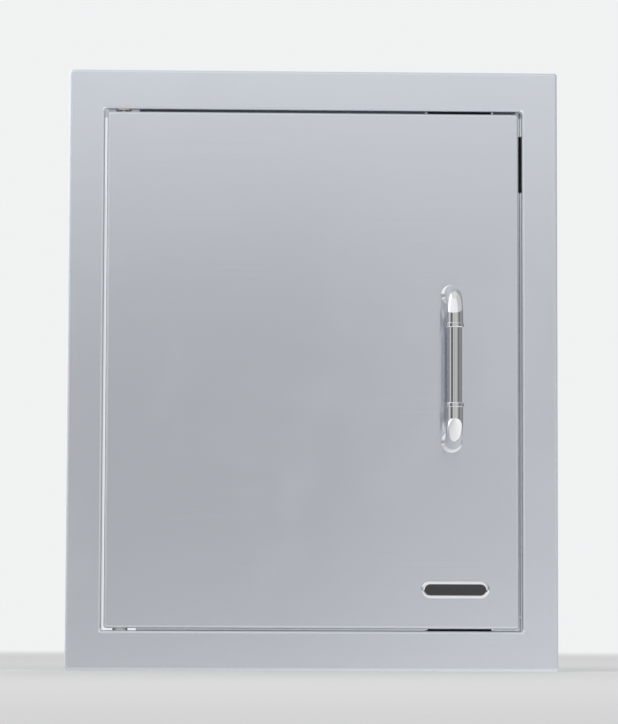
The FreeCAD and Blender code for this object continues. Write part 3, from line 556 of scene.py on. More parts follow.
def brushed(slot, roughness, anisotropy, grain, lines=3200.0, streaks=14.0, folded=False):
    """Brushed metal. Its lines run level, so that its highlights stretch upright, except on folds, whose
    colour is lightened as a painted highlight.
    """
    made, tree, shader = new_material(slot, 1.0, roughness, Anisotropic=anisotropy)
    surface = add(tree, "ShaderNodeUVMap", {"uv_map": "brush"}).outputs["UV"]
    lines_seen = group(tree, "Brushed grain", {
        "Surface": surface, "Lines per metre": lines, "Streaks per metre": streaks, "Depth": grain})
    smears = group(tree, "Handling smears", {"Place": object_place(tree)})
    dulling = 0.025
    duller = maths(tree, "MULTIPLY_ADD", smears.outputs["Smear"], dulling, roughness)
    tone = lines_seen.outputs["Tone"]
    if folded:
        fold = add(tree, "ShaderNodeAttribute", {"attribute_name": "fold"}).outputs["Fac"]
        duller = mixed_value(tree, fold, duller, FOLD_ROUGHNESS)
        tree.links.new(mixed_value(tree, fold, anisotropy, 0.0), shader.inputs["Anisotropic"])
        # Painted highlight: the folds' colour is lightened over the flats
        tone = maths(tree, "MULTIPLY_ADD", fold, FOLD_PAINTED_HIGHLIGHT, tone)
    tree.links.new(duller, shader.inputs["Roughness"])
    tree.links.new(tinted(tree, slot, tone), shader.inputs["Base Color"])
    raise_grain(tree, shader, lines_seen.outputs["Height"], METAL_RELIEF)
    tangent = add(tree, "ShaderNodeTangent", {"direction_type": "UV_MAP", "uv_map": "brush"})
    tree.links.new(tangent.outputs["Tangent"], shader.inputs["Tangent"])
    return made


def plated(slot, roughness, mottle, relief):
    """Zinc-plated or sintered metal: a slow mottle and a very fine skin."""
    made, tree, shader = new_material(slot, 1.0, roughness)
    skin = group(tree, "Moulded skin", {
        "Place": object_place(tree), "Grains per metre": 3400.0, "Patches per metre": 190.0})
    tone = spread(tree, skin.outputs["Mottle"], 0.25, 0.75, 1 - mottle, 1 + mottle * 0.4)
    tree.links.new(tinted(tree, slot, tone), shader.inputs["Base Color"])
    rough = spread(tree, skin.outputs["Mottle"], 0.25, 0.75, roughness * 1.25, roughness * 0.8)
    tree.links.new(rough, shader.inputs["Roughness"])
    raise_grain(tree, shader, skin.outputs["Height"], METAL_RELIEF, relief)
    return made


def polished(slot, roughness):
    """Mirror chrome or polished tube, with faint handling smears."""
    made, tree, shader = new_material(slot, 1.0, roughness)
    smears = group(tree, "Handling smears", {"Place": object_place(tree), "Scale": 46.0})
    dulling, darkening = 0.05, 0.04
    duller = maths(tree, "MULTIPLY_ADD", smears.outputs["Smear"], dulling, roughness)
    tree.links.new(duller, shader.inputs["Roughness"])
    tone = maths(tree, "MULTIPLY_ADD", smears.outputs["Smear"], -darkening, 1.0)
    tree.links.new(tinted(tree, slot, tone), shader.inputs["Base Color"])
    return made


def moulded(slot, roughness, relief, grains=2600.0, coat=0.0, subsurface=0.0):
    """Moulded plastic, nylon, rubber, foam or enamel."""
    made, tree, shader = new_material(slot, 0.0, roughness, Coat_Weight=coat, Coat_Roughness=0.06,
                                      Subsurface_Weight=subsurface, Subsurface_Scale=0.6 * MM)
    skin = group(tree, "Moulded skin", {"Place": object_place(tree), "Grains per metre": grains})
    tone = spread(tree, skin.outputs["Mottle"], 0.3, 0.7, 0.88, 1.1)
    tree.links.new(tinted(tree, slot, tone), shader.inputs["Base Color"])
    tree.links.new(times(tree, tone, roughness), shader.inputs["Roughness"])
    raise_grain(tree, shader, skin.outputs["Height"], MOULD_RELIEF, relief)
    return made


FINISHES = {
    "face_steel": lambda slot: brushed(slot, roughness=0.17, anisotropy=1.0, grain=0.016, folded=True),
    "door_steel": lambda slot: brushed(slot, roughness=0.17, anisotropy=1.0, grain=0.014, folded=True),
    "rail_steel": lambda slot: brushed(slot, roughness=0.13, anisotropy=0.3, grain=0.03, lines=1800.0,
                                        streaks=40.0),
    "inner_steel": lambda slot: plated(slot, roughness=0.42, mottle=0.16, relief=0.25),
    "fastener_steel": lambda slot: plated(slot, roughness=0.24, mottle=0.08, relief=0.10),
    "grip_steel": lambda slot: brushed(slot, roughness=0.075, anisotropy=0.6, grain=0.03, lines=2600.0,
                                        streaks=90.0),
    "bright_chrome": lambda slot: polished(slot, roughness=0.035),
    "catch_plastic": lambda slot: moulded(slot, roughness=0.48, relief=0.35),
    "plug_plastic": lambda slot: moulded(slot, roughness=0.4, relief=0.25),
    "bush_nylon": lambda slot: moulded(slot, roughness=0.38, relief=0.10, subsurface=0.25),
    "bumper_rubber": lambda slot: moulded(slot, roughness=0.72, relief=0.3, grains=1900.0),
    "magnet_ferrite": lambda slot: plated(slot, roughness=0.55, mottle=0.2, relief=0.5),
    "badge_field": lambda slot: moulded(slot, roughness=0.22, relief=0.04, grains=900.0, coat=0.8),
    "pad_foam": lambda slot: moulded(slot, roughness=0.85, relief=0.8, grains=1100.0),
}


def finish(slot):
    """The slot's material, made when it is first asked for."""
    return bpy.data.materials.get(slot + FINISHED) or FINISHES[slot](slot)


def shape_tree(name, inputs):
    """An empty Geometry Nodes tree with a geometry in, a geometry out and named inputs."""
    tree = bpy.data.node_groups.new(name, "GeometryNodeTree")
    tree.is_modifier = True
    tree.interface.new_socket("Geometry", in_out="OUTPUT", socket_type="NodeSocketGeometry")
    tree.interface.new_socket("Geometry", in_out="INPUT", socket_type="NodeSocketGeometry")
    for label, kind, value in inputs:
        socket = tree.interface.new_socket(label, in_out="INPUT", socket_type=kind)
        socket.default_value = value
    return tree, tree.nodes.new("NodeGroupInput"), tree.nodes.new("NodeGroupOutput")


def end_tree(tree, out, geometry, slot):
    """Ends a tree in real geometry with its material."""
    real = add(tree, "GeometryNodeRealizeInstances", inputs={"Geometry": geometry})
    made = add(tree, "GeometryNodeSetMaterial", inputs={
        "Geometry": real.outputs[0], "Material": finish(slot)})
    tree.links.new(made.outputs[0], out.inputs[0])


def grown(name, points, tree, values):
    """Runs a tree on a set of points and keeps the result as a plain mesh."""
    mesh = bpy.data.meshes.new(name)
    mesh.from_pydata(points, [], [])
    piece = bpy.data.objects.new(name, mesh)
    step = piece.modifiers.new(name, "NODES")
    step.node_group = tree
    for socket in tree.interface.items_tree:
        if socket.in_out == "INPUT" and socket.name in values:
            step[socket.identifier] = values[socket.name]
    bpy.context.scene.collection.objects.link(piece)
    plain(piece)
    tidy_normals(piece)
    return piece


def tidy_normals(piece):
    """Merges a grown mesh's doubles and points its faces outwards."""
    shell = bmesh.new()
    shell.from_mesh(piece.data)
    bmesh.ops.remove_doubles(shell, verts=shell.verts, dist=1e-7)
    bmesh.ops.recalc_face_normals(shell, faces=shell.faces)
    shell.to_mesh(piece.data)
    shell.free()


def lifted(tree, geometry, height):
    """Geometry moved up by a height."""
    return add(tree, "GeometryNodeTransform", inputs={
        "Geometry": geometry, "Translation": vector(tree, z=height)}).outputs[0]


def drum(tree, sides, radius, low, high):
    """A solid drum along Z between two heights."""
    height = maths(tree, "SUBTRACT", high, low)
    made = add(tree, "GeometryNodeMeshCylinder", {"fill_type": "NGON"}, {
        "Vertices": sides, "Radius": radius, "Depth": height})
    return lifted(tree, made.outputs["Mesh"], maths(tree, "MULTIPLY_ADD", height, 0.5, low))


def domed_head(tree, size, segments):
    """A screw's or rivet's round head with a flat seat at height 0."""
    ball = add(tree, "GeometryNodeMeshUVSphere", inputs={
        "Segments": segments, "Rings": segments // 2, "Radius": 1.0})
    dome = add(tree, "GeometryNodeTransform", inputs={
        "Geometry": ball.outputs["Mesh"],
        "Scale": vector(tree, size["Head radius"], size["Head radius"], size["Head height"])})
    x, y, z = parts_of(tree, add(tree, "GeometryNodeInputPosition").outputs[0])
    return add(tree, "GeometryNodeSetPosition", inputs={
        "Geometry": dome.outputs[0], "Selection": maths(tree, "LESS_THAN", z, 0.0),
        "Position": vector(tree, x, y)}).outputs[0]


def joined(tree, *parts):
    """Several geometries as one."""
    whole = add(tree, "GeometryNodeJoinGeometry")
    for part in parts:
        tree.links.new(part, whole.inputs[0])
    return whole.outputs[0]


def on_points(tree, given, shape, turn=(0, 0, 0)):
    """A copy of a shape on every point that the tree is given."""
    return add(tree, "GeometryNodeInstanceOnPoints", inputs={
        "Points": given.outputs["Geometry"], "Instance": shape, "Rotation": turn}).outputs[0]


def swept(tree, curve, sides, radius):
    """A round bar along a curve, closed at its ends."""
    section = add(tree, "GeometryNodeCurvePrimitiveCircle", inputs={"Resolution": sides, "Radius": radius})
    return add(tree, "GeometryNodeCurveToMesh", inputs={
        "Curve": curve, "Profile Curve": section.outputs["Curve"], "Fill Caps": True}).outputs[0]


def rivet_tree():
    """A blind rivet on every point: domed head, broken mandrel, shank and folded tail, along +Y."""
    tree, given, out = shape_tree("Rivets", [
        ("Head radius", FLOAT, 3.1 * MM), ("Head height", FLOAT, 0.9 * MM),
        ("Shank radius", FLOAT, 1.6 * MM), ("Grip", FLOAT, 1.8 * MM),
        ("Tail radius", FLOAT, 2.4 * MM), ("Tail length", FLOAT, 1.4 * MM)])
    size = given.outputs
    proud = 0.06 * MM
    mandrel = drum(tree, 20, times(tree, size["Shank radius"], 0.52), 0.0,
                   maths(tree, "ADD", size["Head height"], proud))
    far_side = times(tree, size["Grip"], -1.0)
    shank = drum(tree, 28, size["Shank radius"], far_side, 0.0)
    tail_end = maths(tree, "SUBTRACT", far_side, size["Tail length"])
    tail = drum(tree, 28, size["Tail radius"], tail_end, far_side)
    whole = joined(tree, tail, shank, mandrel, domed_head(tree, size, 28))
    end_tree(tree, out, on_points(tree, given, whole, (math.radians(-90), 0, 0)), "fastener_steel")
    return tree


def screw_tree():
    """A pan-head screw on every point: cross recess cut in the head, and a threaded shank along -Z."""
    tree, given, out = shape_tree("Screws", [
        ("Head radius", FLOAT, 3.0 * MM), ("Head height", FLOAT, 2.2 * MM),
        ("Shank radius", FLOAT, 1.6 * MM), ("Length", FLOAT, 16 * MM),
        ("Pitch", FLOAT, 0.9 * MM), ("Turn", "NodeSocketRotation", (0, 0, 0))])
    size = given.outputs
    recess = add(tree, "GeometryNodeMeshBoolean", {"operation": "DIFFERENCE", "solver": "EXACT"})
    tree.links.new(domed_head(tree, size, 36), recess.inputs["Mesh 1"])
    slot_length, slot_width, slot_depth, slot_middle = 1.15, 0.26, 1.2, 1.05
    for across, along in ((slot_length, slot_width), (slot_width, slot_length)):
        bar = vector(tree, times(tree, size["Head radius"], across), times(tree, size["Head radius"], along),
                     times(tree, size["Head height"], slot_depth))
        block = add(tree, "GeometryNodeMeshCube", inputs={"Size": bar}).outputs["Mesh"]
        cutter = lifted(tree, block, times(tree, size["Head height"], slot_middle))
        tree.links.new(cutter, recess.inputs["Mesh 2"])
    core_radius = times(tree, size["Shank radius"], 0.8)
    core = drum(tree, 28, core_radius, times(tree, size["Length"], -1.0), 0.0)
    threaded = times(tree, size["Length"], 0.94)
    helix = add(tree, "GeometryNodeCurveSpiral", inputs={
        "Resolution": 20, "Rotations": maths(tree, "DIVIDE", threaded, size["Pitch"]),
        "Start Radius": core_radius, "End Radius": core_radius, "Height": threaded})
    thread = swept(tree, helix.outputs[0], 5, times(tree, size["Shank radius"], 0.2))
    thread = lifted(tree, thread, times(tree, size["Length"], -0.97))
    whole = joined(tree, thread, core, recess.outputs["Mesh"])
    end_tree(tree, out, on_points(tree, given, whole, size["Turn"]), "fastener_steel")
    return tree


def spring_tree():
    """A compression spring along +Z from every point, with its end turns drawn together."""
    tree, given, out = shape_tree("Pivot spring", [
        ("Coil radius", FLOAT, 4.2 * MM), ("Wire radius", FLOAT, 0.4 * MM),
        ("Height", FLOAT, 36 * MM), ("Close up", FLOAT, 0.65), ("Turns", "NodeSocketInt", 9)])
    size = given.outputs
    line = add(tree, "GeometryNodeCurvePrimitiveLine", inputs={"End": (0, 0, 1)})
    points = add(tree, "GeometryNodeResampleCurve", inputs={
        "Curve": line.outputs[0], "Count": maths(tree, "MULTIPLY_ADD", size["Turns"], 32.0, 1.0)})
    share = add(tree, "GeometryNodeSplineParameter").outputs["Factor"]
    full_turn = times(tree, share, 2 * math.pi)
    angle = times(tree, full_turn, size["Turns"])
    bunch = times(tree, maths(tree, "SINE", full_turn), size["Close up"])
    rise = maths(tree, "SUBTRACT", share, maths(tree, "DIVIDE", bunch, 2 * math.pi))
    place = vector(tree, times(tree, maths(tree, "COSINE", angle), size["Coil radius"]),
                   times(tree, maths(tree, "SINE", angle), size["Coil radius"]),
                   times(tree, rise, size["Height"]))
    wire = add(tree, "GeometryNodeSetPosition", inputs={"Geometry": points.outputs[0], "Position": place})
    coil = swept(tree, wire.outputs[0], 12, size["Wire radius"])
    end_tree(tree, out, on_points(tree, given, coil), "inner_steel")
    return tree


# Frame pieces

# The opening's corner reliefs, the sleeve's fixing holes, the rear lip, and radii on the pivot axis
RELIEF_RADIUS = 1.7 * MM
RELIEF_DEPTH = 6 * MM
FIXING_RADIUS = 2.5 * MM
FIXING_Y = 27 * MM
SIDE_FIXING_Z = 150 * MM
END_FIXING_X = 70 * MM
REAR_LIP = 8 * MM
BUSH_RADIUS = 5 * MM
PIN_RADIUS = 3 * MM
RUNNING_RADIUS = 3.05 * MM

# How far a cutter starts outside what it cuts
PAST = 2 * MM


def catch_screw_places():
    """The x and y of the two screws in each catch."""
    low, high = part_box("catch_case_top")
    inset = 4.2 * MM
    return [(low.x + inset, (low.y + high.y) / 2), (high.x - inset, (low.y + high.y) / 2)]


def make_face_frame():
    """The frame's one sheet: sleeve, opening bend, face, outer return and rear lip."""
    sheet, bend = sizes().frame_sheet, sizes().bend
    back_y = 0
    inner_x, inner_z = FRAME_HALF_X - sheet, FRAME_HALF_Z - sheet
    tight, lip_corner, inner_corner = 0.15 * MM, 0.5 * MM, 0.6 * MM
    lip_x, lip_z = FRAME_HALF_X - REAR_LIP, FRAME_HALF_Z - REAR_LIP
    cut_end, lip_edge, inner_bend = 0.25 * MM, 0.2 * MM, 0.5 * MM
    corners = [
        ((WALL_X, WALL_Z, tight, SLEEVE_END_Y), cut_end),
        ((WALL_X, WALL_Z, tight, FACE_Y), bend),
        ((FRAME_HALF_X, FRAME_HALF_Z, FOLD_CORNER, FACE_Y), bend),
        ((FRAME_HALF_X, FRAME_HALF_Z, FOLD_CORNER, back_y), bend),
        ((lip_x, lip_z, lip_corner, back_y), lip_edge),
        ((lip_x, lip_z, lip_corner, back_y - sheet), lip_edge),
        ((inner_x, inner_z, inner_corner, back_y - sheet), inner_bend),
        ((inner_x, inner_z, inner_corner, FACE_Y + sheet), inner_bend),
        ((WALL_X + sheet, WALL_Z + sheet, inner_corner, FACE_Y + sheet), inner_bend),
        ((WALL_X + sheet, WALL_Z + sheet, inner_corner, SLEEVE_END_Y), cut_end),
    ]
    body = pressed("face_frame_piece", corners, 0, 0, closed=True)
    holes = [drill((PIVOT_X, PIVOT_Y, WALL_Z - PAST), UP, BUSH_RADIUS, 3 * PAST),
             drill((PIVOT_X, PIVOT_Y, PAST - WALL_Z), DOWN, PIN_RADIUS, 3 * PAST)]
    for rise in (-1, 1):
        for side in (-1, 1):
            holes.append(drill((side * WALL_X, FACE_Y - PAST, rise * WALL_Z), INWARD, RELIEF_RADIUS,
                               RELIEF_DEPTH + PAST))
            holes.append(drill((side * (WALL_X - PAST), FIXING_Y, rise * SIDE_FIXING_Z), (side, 0, 0),
                               FIXING_RADIUS, 3 * PAST))
            holes.append(drill((side * END_FIXING_X, FIXING_Y, rise * (WALL_Z - PAST)), (0, 0, rise),
                               FIXING_RADIUS, 3 * PAST))
        for x, y in catch_screw_places():
            holes.append(drill((x, y, rise * (WALL_Z - PAST)), (0, 0, rise), PIN_RADIUS / 2, 3 * PAST))
    cut(body, holes)
    settle(body, ["face_frame"], "face_steel")


def make_stop_rails():
    """The angles that the shut leaf stops against, and the rubber pad on one of them."""
    for node in ("stop_rail_top", "stop_rail_bottom", "stop_rail_latch"):
        dressed(node, "rail_steel", bevel=0.3 * MM)
    dressed("latch_bumper", "bumper_rubber", bevel=0.1 * MM)


def make_catches():
    """The magnetic catches' cases, pole plates and magnets."""
    for end in ("top", "bottom"):
        dressed("catch_case_" + end, "catch_plastic", bevel=0.25 * MM)
        dressed("catch_poles_" + end, "inner_steel")
        dressed("catch_magnet_" + end, "magnet_ferrite", bevel=0.3 * MM)


# Leaf pieces

# How far the liner's middle is pressed in, and the radius of its holes for the plugs
LINER_PRESS = 6 * MM
PLUG_HOLE = 6 * MM


def foot_places():
    """The heights of the handle's two feet."""
    return (GRIP_Z + LEG_REACH, GRIP_Z - LEG_REACH)


def lever_slot(width, height, from_y, to_y):
    """The cutter of the slot that the pin's lever runs in."""
    return slot_cutter(width, height, from_y - PAST, to_y + PAST, PIVOT_X, LEVER_SLOT_Z)


def make_leaf_face():
    """The leaf's front pan, from its inner face round its lips and returns to the front."""
    sheet, bend = sizes().door_sheet, sizes().bend
    half_x, half_z = DOOR_HALF_X, DOOR_HALF_Z
    lip, lip_corner, lip_edge = 14 * MM, 3 * MM, 0.2 * MM
    flat = 60 * MM
    inner_y = FACE_Y + sheet
    lip_front_y = LIP_BACK_Y - sheet
    inner_corner = FOLD_CORNER - sheet
    corners = [
        ((half_x - sheet - flat, half_z - sheet - flat, inner_corner, inner_y), 0),
        ((half_x - sheet, half_z - sheet, inner_corner, inner_y), 0.5 * MM),
        ((half_x - sheet, half_z - sheet, inner_corner, lip_front_y), 0.4 * MM),
        ((half_x - lip, half_z - lip, lip_corner, lip_front_y), lip_edge),
        ((half_x - lip, half_z - lip, lip_corner, LIP_BACK_Y), lip_edge),
        ((half_x, half_z, FOLD_CORNER, LIP_BACK_Y), 1.0 * MM),
        ((half_x, half_z, FOLD_CORNER, FACE_Y), bend),
        ((half_x - flat, half_z - flat, FOLD_CORNER, FACE_Y), 0),
    ]
    body = pressed("door_skin_piece", corners, DOOR_X, DOOR_Z)
    pin_hole, screw_hole = 3.5 * MM, 2.25 * MM
    slot_width, slot_length = 8.4 * MM, 24 * MM
    holes = [drill((PIVOT_X, PIVOT_Y, SKIN_HIGH.z - PAST), UP, pin_hole, 2 * PAST),
             drill((PIVOT_X, PIVOT_Y, SKIN_LOW.z + PAST), DOWN, BUSH_RADIUS, 2 * PAST),
             lever_slot(slot_width, slot_length, lip_front_y, LIP_BACK_Y)]
    for z in foot_places():
        holes.append(drill((GRIP_X, FACE_Y - PAST, z), INWARD, screw_hole, 2 * PAST))
    cut(body, holes)
    settle(body, ["door_skin"], "door_steel")


def make_liner():
    """The leaf's inner wall, with its middle pressed forward."""
    sheet, press = 0.8 * MM, sizes().press
    half_x, half_z = half_of("door_liner")[::2]
    rim, rim_corner = 26.82 * MM, 11.4 * MM
    floor_inset, floor_corner = 33 * MM, 7 * MM
    edge_corner = 3 * MM
    flat = 80 * MM
    floor_y = DOOR_BACK_Y - LINER_PRESS
    floor = (half_x - floor_inset, half_z - floor_inset, floor_corner)
    top = (half_x - rim, half_z - rim, rim_corner)
    corners = [
        ((half_x - flat, half_z - flat, floor_corner, floor_y - sheet), 0),
        ((*floor, floor_y - sheet), press),
        ((*top, DOOR_BACK_Y - sheet), press * 0.7),
        ((half_x, half_z, edge_corner, DOOR_BACK_Y - sheet), 0.2 * MM),
        ((half_x, half_z, edge_corner, DOOR_BACK_Y), 0.3 * MM),
        ((*top, DOOR_BACK_Y), press),
        ((*floor, floor_y), press * 0.8),
        ((half_x - flat, half_z - flat, floor_corner, floor_y), 0),
    ]
    body = pressed("door_liner_piece", corners, DOOR_X, DOOR_Z)
    slot_width, slot_length = 7 * MM, 22 * MM
    holes = [lever_slot(slot_width, slot_length, LIP_BACK_Y, DOOR_BACK_Y)]
    for z in foot_places():
        holes.append(drill((GRIP_X, floor_y - PAST, z), INWARD, PLUG_HOLE, 2 * PAST))
    cut(body, holes)
    settle(body, ["door_liner"], "door_steel")


def make_plugs():
    """The snap-in plugs over the handle's screws: a dished cap with a proud rim, stem and snap ring."""
    seat = DOOR_BACK_Y - LINER_PRESS
    low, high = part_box("access_plugs")
    cap = high.y - seat
    tail = seat - low.y
    neck, snap, tip = 0.8 * MM, 6.4 * MM, 5.6 * MM
    radius = half_of("access_plugs")[0]
    rim, dish_edge, dish = 2.2 * MM, 3 * MM, 0.45 * MM
    corners = [
        ((tail, 0), 0), ((tail, tip), 0.3 * MM), ((neck, snap), 0.3 * MM), ((neck, PLUG_HOLE), 0),
        ((0, PLUG_HOLE), 0), ((0, radius), 0.15 * MM), ((-cap, radius), 0.7 * MM),
        ((-cap, radius - rim), 0.5 * MM), ((dish - cap, radius - dish_edge), 0.5 * MM), ((dish - cap, 0), 0),
    ]
    plugs = [turned("plug", corners, (GRIP_X, seat, z), OUTWARD) for z in foot_places()]
    settle(join("access_plugs_piece", plugs), ["access_plugs"], "plug_plastic")


def make_badge():
    """The bare oval plate: domed rim, sunk enamel field with a thin keyline, and its pad."""
    x, z = middle_of("badge_plate")[::2]
    plate_x, plate_z = half_of("badge_plate")[::2]
    field_x, field_z = half_of("badge_inlay")[::2]
    front, back = [corner.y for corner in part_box("badge_plate")]
    top, field = [corner.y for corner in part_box("badge_inlay")]
    tiny = 0.02 * MM

    def oval(half_x, half_z, y):
        return (half_x, half_z, half_z - tiny, y)

    slope = 1.2 * MM
    rim = [
        (oval(plate_x - field_z, plate_z - field_z, back), 0),
        (oval(plate_x, plate_z, back), 0.15 * MM),
        (oval(plate_x, plate_z, front), 1.7 * MM),
        (oval(field_x + slope, field_z + slope, front), 0.28 * MM),
        (oval(field_x, field_z, field), 0.1 * MM),
        (oval(field_x - field_z * 0.9, field_z * 0.1, field), 0),
    ]
    settle(pressed("badge_plate_piece", rim, x, z, steps=7), ["badge_plate"], "bright_chrome")
    groove = top + 0.12 * MM
    keyline = ((0.9 * MM, top), (1.0 * MM, groove), (1.2 * MM, groove), (1.3 * MM, top))
    enamel = [
        (oval(field_x * 0.8, field_z * 0.1, field), 0),
        (oval(field_x - tiny, field_z - tiny, field), 0),
        (oval(field_x - tiny, field_z - tiny, top), 0.15 * MM),
        *[(oval(field_x - inset, field_z - inset, y), 0.06 * MM) for inset, y in keyline],
        (oval(field_x * 0.8, field_z * 0.1, top), 0),
    ]
    settle(pressed("badge_inlay_piece", enamel, x, z, steps=3), ["badge_inlay"], "badge_field")
    dressed("badge_pad", "pad_foam", bevel=0.08 * MM)


# Handle

def elbow(node, sign):
    """A cast end: flange ring, leg, bend, sleeve and bead, bored for the grip."""
    reach, bend = FACE_Y - GRIP_Y, 21 * MM
    leg = reach - bend
    arc = bend * math.pi / 2
    bare_grip = 64.4 * MM
    sleeve = LEG_REACH - bend - bare_grip / 2
    total = leg + arc + sleeve
    tube, bead, bead_length = 7.3 * MM, GRIP_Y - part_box(node)[0].y, 3.8 * MM
    ring, ring_height, step_radius, step_height = 9.2 * MM, 1.7 * MM, 8.25 * MM, 2.4 * MM
    bore, depth = 6.35 * MM, 10.5 * MM
    bend_steps = 24
    corners = [
        ((0, 0), 0), ((0, ring), 0.35 * MM), ((ring_height, ring), 0.75 * MM),
        ((ring_height, step_radius), 0.15 * MM), ((step_height, step_radius), 0.3 * MM),
        ((step_height, tube), 0.5 * MM), ((leg, tube), 0),
    ]
    corners += [((leg + arc * step / bend_steps, tube), 0) for step in range(1, bend_steps + 1)]
    corners += [
        ((total - bead_length, tube), 0.15 * MM), ((total - bead_length, bead), 0.35 * MM),
        ((total, bead), 0.8 * MM), ((total, bore), 0.2 * MM),
        ((total - depth, bore), 0), ((total - depth, 0), 0),
    ]
    loops = []
    across = Vector((1, 0, 0))
    leg_z = GRIP_Z + sign * LEG_REACH
    for length, radius in soften(corners, steps=4):
        if length <= leg:
            middle, out = Vector((GRIP_X, FACE_Y - length, leg_z)), Vector((0, 0, sign))
        elif length <= leg + arc:
            turn = (length - leg) / bend
            out = Vector((0, -math.sin(turn), sign * math.cos(turn)))
            middle = Vector((GRIP_X, GRIP_Y + bend, leg_z - sign * bend)) + out * bend
        else:
            out = Vector((0, -1, 0))
            middle = Vector((GRIP_X, GRIP_Y, leg_z - sign * (bend + length - leg - arc)))
        loops.append([middle + radius * (across * math.cos(angle) + out * math.sin(angle))
                      for angle in angles_round(sizes().round_steps)])
    settle(loft(node + "_piece", loops), [node], "bright_chrome", sharp=40)


def make_handle():
    """The pull: grip tube, two cast ends, and what holds them from inside the leaf."""
    low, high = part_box("handle_tube")
    outer = high.x - GRIP_X
    inner = outer - 1.2 * MM
    top = high.z - low.z
    corners = [((height, radius), 0.2 * MM)
               for height, radius in ((0, outer), (top, outer), (top, inner), (0, inner))]
    grip = turned("handle_tube_piece", corners, (GRIP_X, GRIP_Y, low.z), UP, closed=True, sides=64)
    settle(grip, ["handle_tube"], "grip_steel")
    elbow("handle_elbow_top", 1)
    elbow("handle_elbow_bottom", -1)
    dressed("handle_stiffener", "inner_steel", bevel=0.25 * MM)
    low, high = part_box("handle_washers")
    thick = high.y - low.y
    bore, radius = 2.15 * MM, 4.5 * MM
    ring = [((0, bore), 0.1 * MM), ((0, radius), 0.15 * MM), ((thick, radius), 0.15 * MM),
            ((thick, bore), 0.1 * MM)]
    rings = [turned("washer", ring, (GRIP_X, low.y, z), INWARD, closed=True) for z in foot_places()]
    settle(join("handle_washers_piece", rings), ["handle_washers"], "fastener_steel")


# Pivots

def ring_corners(bore, radius, height, soft):
    """The section of a plain bush or collar."""
    return [((0, bore), soft), ((0, radius), soft), ((height, radius), soft), ((height, bore), soft)]


def on_pivot(node, slot, corners, closed=False):
    """A piece turned upwards round the pivot axis from its node's lowest point."""
    place = (PIVOT_X, PIVOT_Y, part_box(node)[0].z)
    settle(turned(node + "_piece", corners, place, UP, closed=closed), [node], slot)


def make_pivots():
    """Pins, bushes, washer, collar and lever on the pivot axis, and the plates that carry them."""
    flange, flange_radius, top = 0.6 * MM, 7 * MM, height_of("top_bush")
    on_pivot("top_bush", "bush_nylon", [
        ((0, RUNNING_RADIUS), 0.25 * MM), ((0, flange_radius), 0.15 * MM),
        ((flange, flange_radius), 0.15 * MM), ((flange, BUSH_RADIUS), 0.1 * MM),
        ((top, BUSH_RADIUS), 0.3 * MM), ((top, RUNNING_RADIUS), 0.25 * MM)], closed=True)
    for node, radius in (("thrust_washer", 6.5 * MM), ("bottom_bush", BUSH_RADIUS)):
        corners = ring_corners(RUNNING_RADIUS, radius, height_of(node), 0.2 * MM)
        on_pivot(node, "bush_nylon", corners, closed=True)
    head, head_radius, lead_in, top = 2 * MM, 5 * MM, 0.8 * MM, height_of("bottom_pivot_pin")
    on_pivot("bottom_pivot_pin", "fastener_steel", [
        ((0, 0), 0), ((0, head_radius), 0.8 * MM), ((head, head_radius), 0.2 * MM),
        ((head, PIN_RADIUS), 0.1 * MM), ((top - lead_in, PIN_RADIUS), 0.2 * MM),
        ((top, PIN_RADIUS - lead_in), 0.2 * MM), ((top, 0), 0)])
    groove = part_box("pin_collar")[0].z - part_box("sprung_pin")[0].z - 1.4 * MM
    groove_end, groove_radius, top = groove + 0.8 * MM, 2.6 * MM, height_of("sprung_pin")
    on_pivot("sprung_pin", "fastener_steel", [
        ((0, 0), 0), ((0, PIN_RADIUS), 0.5 * MM), ((groove, PIN_RADIUS), 0.1 * MM),
        ((groove, groove_radius), 0.1 * MM), ((groove_end, groove_radius), 0.1 * MM),
        ((groove_end, PIN_RADIUS), 0.1 * MM), ((top, PIN_RADIUS), 1.2 * MM), ((top, 0), 0)])
    corners = ring_corners(PIN_RADIUS, 5.2 * MM, height_of("pin_collar"), 0.3 * MM)
    on_pivot("pin_collar", "fastener_steel", corners, closed=True)
    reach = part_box("pin_lever")[1].y - PIVOT_Y
    rod, shoulder, waist, knob = 1.5 * MM, 2.6 * MM, 2.2 * MM, 3.2 * MM
    shoulder_at, waist_at, knob_at = reach - 5 * MM, reach - 3.2 * MM, reach - 1.8 * MM
    lever = [((0, 0), 0), ((0, rod), 0.1 * MM), ((shoulder_at, rod), 0.2 * MM),
             ((shoulder_at, shoulder), 0.3 * MM), ((waist_at, waist), 0.8 * MM),
             ((knob_at, knob), 0.6 * MM), ((reach, knob), 1.1 * MM), ((reach, 0), 0)]
    settle(turned("pin_lever_piece", lever, (PIVOT_X, PIVOT_Y, LEVER_Z), INWARD),
           ["pin_lever"], "fastener_steel")
    for node in ("hinge_doubler_top", "hinge_doubler_bottom", "pin_carrier", "socket_carrier"):
        dressed(node, "inner_steel")


# What repeats

def make_strikes():
    """The strike plates on the leaf's back."""
    for end in ("top", "bottom"):
        dressed("strike_plate_" + end, "fastener_steel", bevel=0.15 * MM)


def liner_rivet_places():
    """Four along each end of the liner and five down each side."""
    inset = 8 * MM
    first_x, pitch_x = -150 * MM, 78 * MM
    first_z, pitch_z = -140 * MM, 70 * MM
    places = [(first_x + pitch_x * step, DOOR_BACK_Y, z)
              for z in (SKIN_HIGH.z - inset, SKIN_LOW.z + inset) for step in range(4)]
    places += [(x, DOOR_BACK_Y, first_z + pitch_z * step)
               for x in (SKIN_LOW.x + inset, SKIN_HIGH.x - inset) for step in range(5)]
    return places


